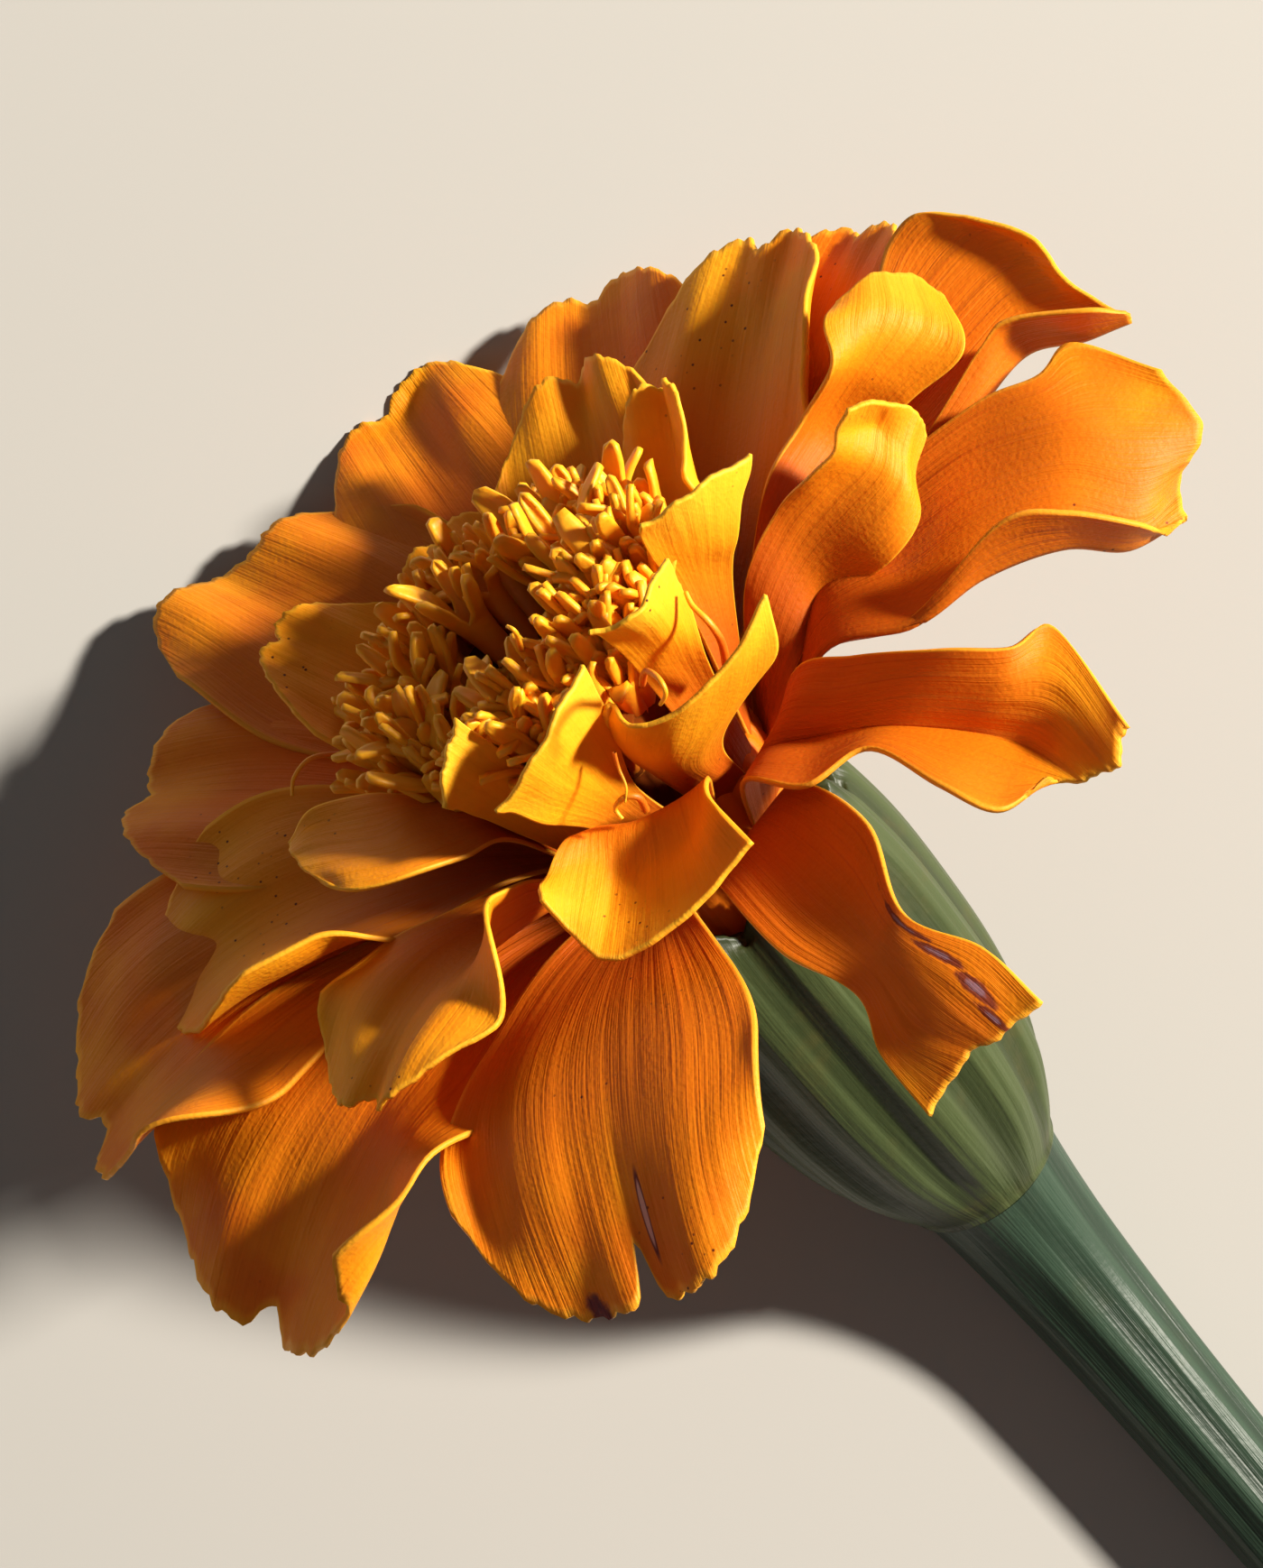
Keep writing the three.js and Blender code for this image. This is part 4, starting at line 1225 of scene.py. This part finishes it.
        def point(u: float, v: float) -> Vector:
            """Returns the place of the corner at share u round and v along."""
            across, climbed = self.tube[round(v * (len(self.tube) - 1))]
            return POSE.matrix() @ (root.lerp(mouth, climbed) + turn @ polar(across, 2 * math.pi * u))

        rim = drawn_in_rings(bm, sides, len(self.tube), point, top=self.tube_share)
        place = POSE.matrix() @ Matrix.Translation(mouth) @ turn
        for lobe in range(self.lobes):
            foot = [rim[(2 * lobe + k) % sides] for k in range(3)]
            self.lobe(bm, foot, (2 * lobe + 1) / sides, place, luck, bud)

    def lobe(
        self,
        bm: bmesh.types.BMesh,
        foot: list[Corner],
        at: float,
        place: Matrix,
        luck: random.Random,
        closed: bool,
    ) -> None:
        """Draws one lobe out of a floret's rim: a blunt finger, now and then a broad one.

        Args:
            bm: the mesh that it is added to.
            foot: the three corners of the rim that it grows from.
            at: where it stands round the floret, as a share of a turn.
            place: the matrix from the floret's own frame to the table.
            luck: the draw of its small differences.
            closed: whether it bends in over the mouth.
        """
        length = luck.uniform(1.1, 2.6)
        spread = math.radians(luck.uniform(-5.0, 50.0))
        bend, kink = math.radians(luck.uniform(-35.0, 40.0)), math.radians(luck.uniform(-25.0, 30.0))
        broad = luck.uniform(0.75, 1.15)
        if luck.random() < self.broad_share:
            broad, length = 1.4, length * 1.15
        if closed:
            length, spread, bend = 1.2, math.radians(-15.0), math.radians(-60.0)
        channel, askew = luck.uniform(-0.08, 0.22), luck.uniform(-0.6, 0.6)
        outward, around = polar(1.0, 2 * math.pi * at), polar(1.0, 2 * math.pi * at + math.pi / 2)
        middle = outward * self.tube[-1][0]
        map_layer = bm.loops.layers.uv["UVMap"]
        last = len(self.lobe_widths) - 1
        for step, width in enumerate(self.lobe_widths):
            climbed = step / last
            angle = spread + bend * climbed + kink * (step > 1)
            forward = outward * math.sin(angle) + Vector((0.0, 0.0, math.cos(angle)))
            middle = middle + forward * (length / (last + 1)) + around * (askew * climbed / last)
            tops, faces = grown(bm, foot, closed=False)
            for side, vert in zip((-1.0, 0.0, 1.0), tops):
                rounded = forward * (self.blunt * climbed * (1.0 - abs(side)))
                sideways = around * (side * width * broad) - outward * (channel * abs(side))
                vert.co = place @ (middle + sideways + rounded)
            for face in faces:
                for loop in face.loops:
                    late = step + 1 if loop.vert in tops else step
                    loop[map_layer].uv = (at, mix(self.tube_share, 1.0, late / (last + 1)))
            foot = tops

    def style(self, points: tuple[Triple, ...], thick: float) -> bmesh.types.BMesh:
        """Draws a thin style or a withered filament.

        Args:
            points: places that it runs through, as the picture shows them, each with its height.
            thick: its radius at the foot.

        Returns:
            The closed tube, in metres on the table.
        """
        steps = 20
        run = curve_through(tuple(tuple(SIGHT.point(*place)) for place in points), steps)

        def point(u: float, v: float) -> Vector:
            """Returns the place of the corner at share u round and v along."""
            step = round(v * steps)
            ahead = Vector(run[min(steps, step + 1)]) - Vector(run[max(0, step - 1)])
            side = ahead.cross(POSE.table_up).normalized()
            over = side.cross(ahead).normalized()
            turn = 2 * math.pi * u
            out = side * math.cos(turn) + over * math.sin(turn)
            return POSE.matrix() @ (Vector(run[step]) + out * (thick * mix(1.0, 0.5, v)))

        bm = bmesh.new()
        rim = drawn_in_rings(bm, 8, steps + 1, point)
        bmesh.ops.contextual_create(bm, geom=rim)
        return bm

    def build(self) -> list[bpy.types.Object]:
        """Builds and dresses the crest.

        Returns:
            The pieces.
        """
        skin = DiscFinish("disc_floret_skin").material()
        # Painted shade: the core that lines the hollow is painted near black, with a dull skin, for the shade
        # down in it.
        shade = DiscFinish(
            "disc_core_skin", lobe=(0.16, 0.035, 0.002), tube=(0.10, 0.015, 0.001), roughness=0.9, shine=0.05
        )
        painted_pit_shade = shade.material()
        made = [dress(piece_from(self.core(), "disc_core", painted_pit_shade), "disc_florets")]
        luck = random.Random(self.seed)
        for group in range(self.groups):
            bm = bmesh.new()
            for index in range(group, self.florets + self.buds, self.groups):
                self.floret(bm, index, luck)
            piece = piece_from(bm, f"disc_florets_{group + 1}", skin)
            wall = give_wall(piece, "flesh", self.flesh)
            wall.edge_crease_inner = wall.edge_crease_outer = wall.edge_crease_rim = self.edge_crease
            soft = piece.modifiers.new("soft", "SUBSURF")
            soft.levels = soft.render_levels = 1
            made.append(dress(piece, "disc_florets"))
        for name, (thick, points) in self.styles().items():
            piece = piece_from(self.style(points, thick), name, skin)
            made.append(dress(piece, "disc_florets"))
        return made

    def styles(self) -> dict[str, tuple[float, tuple[Triple, ...]]]:
        """Returns the styles and filaments that stand clear of the crest: radius, and where each runs."""
        return {
            "style_strap": (
                0.17,
                ((806, 742, 7.0), (800, 712, 8.6), (786, 690, 9.6), (768, 672, 10.2), (760, 656, 10.6)),
            ),
            "style_hook": (
                0.14,
                ((712, 758, 9.6), (716, 744, 10.6), (730, 752, 10.9), (738, 768, 10.5), (732, 781, 10.0)),
            ),
            "style_curl": (
                0.15,
                ((716, 898, 5.8), (708, 884, 6.6), (692, 884, 6.9), (682, 896, 6.6), (690, 908, 6.2)),
            ),
            "style_thread": (
                0.07,
                ((681, 834, 8.4), (686, 852, 7.8), (694, 872, 7.2), (693, 890, 6.8)),
            ),
            "style_quill": (
                0.12,
                ((400, 838, 7.6), (368, 836, 8.4), (342, 842, 8.8), (326, 862, 8.6), (324, 882, 8.2)),
            ),
            "style_fork": (
                0.13,
                ((584, 742, 9.0), (577, 716, 11.2), (571, 700, 12.4), (562, 694, 12.6)),
            ),
        }


# ---------------------------------------------------------------- green parts
@dataclass
class Calyx:
    """The ribbed urn of fused bracts that holds all the florets. Millimetres."""

    ribs: int = 12
    rib_depth: float = 0.2
    tooth: float = 1.6
    wall: float = 0.6
    rings: int = 60
    profile: tuple[tuple[float, float], ...] = (
        (0.1, -20.45), (2.9, -20.45), (3.35, -19.9), (4.1, -18.4), (4.95, -16.0), (5.5, -13.0),
        (5.75, -10.0), (5.85, -6.0), (5.6, -3.0), (5.2, -0.9),
    )

    def build(self) -> list[bpy.types.Object]:
        """Builds and dresses the calyx.

        Returns:
            The one piece.
        """
        profile = curve_through(self.profile, self.rings)

        def outside(u: float, v: float) -> Vector:
            """Returns the place of the corner at share u round and v along."""
            radius, height = profile[round(v * self.rings)]
            azimuth = 2 * math.pi * u
            swell = ease(-20.0, -16.0, height)
            rib = math.cos(azimuth * self.ribs)
            fine = 0.035 * math.cos(azimuth * self.ribs * 5)
            radius += swell * (self.rib_depth * (1.0 - (1.0 - rib) ** 1.4) * 0.8 + fine)
            peak = abs((u * self.ribs) % 1.0 - 0.5) * 2.0
            height += self.tooth * (peak - 1.0) * ease(-3.0, -0.9, height)
            return POSE.matrix() @ polar(radius, azimuth, height)

        bm = bmesh.new()
        drawn_in_rings(bm, self.ribs * 16, self.rings + 1, outside)
        # The calyx gets painted shade at its mouth, under the florets.
        piece = piece_from(bm, "calyx_urn", GreenFinish("calyx_skin", painted_mouth_shade=1.0).material())
        give_wall(piece, "wall", self.wall, offset=-1.0)
        return [dress(piece, "calyx")]


@dataclass
class Stalk:
    """The stalk: swollen under the calyx, bent down to the table, cut straight. Millimetres and degrees."""

    length: float = 45.0
    radius: float = 1.95
    swell: float = 3.1
    taper: float = 9.0
    bend: float = 16.0
    top: float = -20.5
    sides: int = 72
    rings: int = 110
    ridges: int = 9
    ridge_depth: float = 0.07
    cut_rim: float = 0.25
    cut_depth: float = 0.08

    def ring_point(self, u: float, along: float) -> Vector:
        """Works out a point of the stalk's skin on the table.

        Args:
            u: share of a turn round the stalk.
            along: distance from the calyx.

        Returns:
            The point, in millimetres on the table.
        """
        tilt = math.radians(POSE.axis_tilt)
        start = POSE.matrix() @ Vector((0.0, 0.0, self.top)) / MM
        drop = start.z - self.radius - self.bend * (1 - math.cos(tilt))
        straight = drop / math.sin(tilt)
        slope = tilt - min(max(along - straight, 0.0), self.bend * tilt) / self.bend
        first, rest = min(along, straight), max(0.0, along - straight - self.bend * tilt)
        x = start.x - first * math.cos(tilt) - self.bend * (math.sin(tilt) - math.sin(slope)) - rest
        z = start.z - first * math.sin(tilt) - self.bend * (math.cos(slope) - math.cos(tilt))
        radius = self.radius + (self.swell - self.radius) * math.exp(-along / self.taper)
        turn = 2 * math.pi * u
        ridge = math.cos(turn * self.ridges + 0.3 * math.sin(along / 4.0))
        radius += self.ridge_depth * ridge * ease(0.0, 6.0, along) - self.ridge_depth
        up, side = radius * math.sin(turn), radius * math.cos(turn)
        return Vector((x - up * math.sin(slope), start.y + side, max(0.0, z + up * math.cos(slope))))

    def build(self) -> list[bpy.types.Object]:
        """Builds and dresses the stalk.

        Returns:
            The one piece.
        """

        def skin(u: float, v: float) -> Vector:
            """Returns the place of the corner at share u round and v along."""
            return self.ring_point(u, self.length * min(1.0, v) ** 1.2) * MM

        bm = bmesh.new()
        rim = drawn_in_rings(bm, self.sides, self.rings, skin)
        cut = bmesh.ops.contextual_create(bm, geom=rim)["faces"]
        bmesh.ops.inset_region(bm, faces=cut, thickness=self.cut_rim * MM, depth=-self.cut_depth * MM)
        finish = GreenFinish(
            "stalk_skin", ridge=(0.032, 0.058, 0.037), furrow=(0.019, 0.035, 0.022),
            blush=(0.042, 0.052, 0.024), ribs=self.ridges,
        )
        piece = piece_from(bm, "stalk", finish.material())
        return [dress(piece, "stem")]


# ---------------------------------------------------------------- camera and light
@dataclass(frozen=True)
class Lamp:
    """A soft square lamp. Metres and watts.

    way tells how far it hangs from the crest: to the picture's right, to its top and above the table.
    """

    name: str
    way: Triple
    size: float
    watts: float
    colour: Colour

    def hang(self) -> None:
        """Hangs the lamp over the flower, turned to it."""
        data = bpy.data.lights.new(self.name, "AREA")
        data.size, data.energy, data.color = self.size, self.watts, self.colour
        made = bpy.data.objects.new(self.name, data)
        way = SIGHT.right * self.way[0] + SIGHT.up * self.way[1] + Vector((0.0, 0.0, self.way[2]))
        crest = POSE.matrix() @ Vector((0.0, 0.0, SIGHT.crest_height))
        made.location = crest + way
        made.rotation_mode = "QUATERNION"
        made.rotation_quaternion = way.to_track_quat("Z", "Y")
        bpy.context.scene.collection.objects.link(made)


@dataclass(frozen=True)
class Studio:
    """Camera, light and table. The camera looks straight down on the flower.

    The picture's size is in pixels, the sensor's in millimetres and the table's half side in metres.
    """

    picture: tuple[int, int] = (1400, 1738)
    sensor: float = 36.0
    lamps: tuple[Lamp, ...] = (
        Lamp("key", (0.60, 0.30, 0.46), 0.08, 19.0, (1.0, 0.93, 0.82)),
        Lamp("fill", (-0.5, -0.25, 0.6), 0.8, 0.42, (1.0, 0.94, 0.86)),
    )
    surroundings: float = 0.07
    table: float = 3.0

    def camera(self) -> bpy.types.Object:
        """Makes the camera above the crest, aimed so that the crest lies where the photograph has it.

        Returns:
            The camera.
        """
        focal = SIGHT.distance * SIGHT.pixels_per_mm
        right, up = SIGHT.right, SIGHT.up
        aside = self.picture[0] / 2 - SIGHT.crest_at[0]
        below = self.picture[1] / 2 - SIGHT.crest_at[1]
        aim = (Vector((0.0, 0.0, -focal)) + right * aside - up * below).normalized()
        back = -aim
        across = up.cross(back).normalized()
        data = bpy.data.cameras.new("camera")
        data.sensor_width = self.sensor
        data.lens = self.sensor * focal / max(self.picture)
        data.clip_start, data.clip_end = 0.01, 10.0
        made = bpy.data.objects.new("camera", data)
        crest = POSE.matrix() @ Vector((0.0, 0.0, SIGHT.crest_height))
        made.matrix_world = Matrix.Translation(crest + Vector((0.0, 0.0, SIGHT.distance * MM))) @ Matrix(
            (across, back.cross(across), back)
        ).transposed().to_4x4()
        bpy.context.scene.collection.objects.link(made)
        bpy.context.scene.camera = made
        return made

    def build(self) -> None:
        """Makes the camera, the lamps, the pale surroundings and the table."""
        self.camera()
        for lamp in self.lamps:
            lamp.hang()
        world = bpy.data.worlds.new("studio")
        world.use_nodes = True
        background = world.node_tree.nodes["Background"]
        background.inputs["Color"].default_value = (1.0, 1.0, 1.0, 1.0)
        background.inputs["Strength"].default_value = self.surroundings
        bpy.context.scene.world = world
        bm = bmesh.new()
        bmesh.ops.create_grid(bm, x_segments=2, y_segments=2, size=self.table)
        piece_from(bm, "table", FloorFinish().material())


def main() -> None:
    """Builds the flower and the studio in order."""
    logging.basicConfig(level=logging.INFO, format="%(name)s: %(message)s")
    Studio().build()
    bpy.context.scene.view_settings.view_transform = "Standard"
    RayFlorets().build()
    DiscCrest().build()
    Calyx().build()
    Stalk().build()


if __name__ == "__main__":
    main()
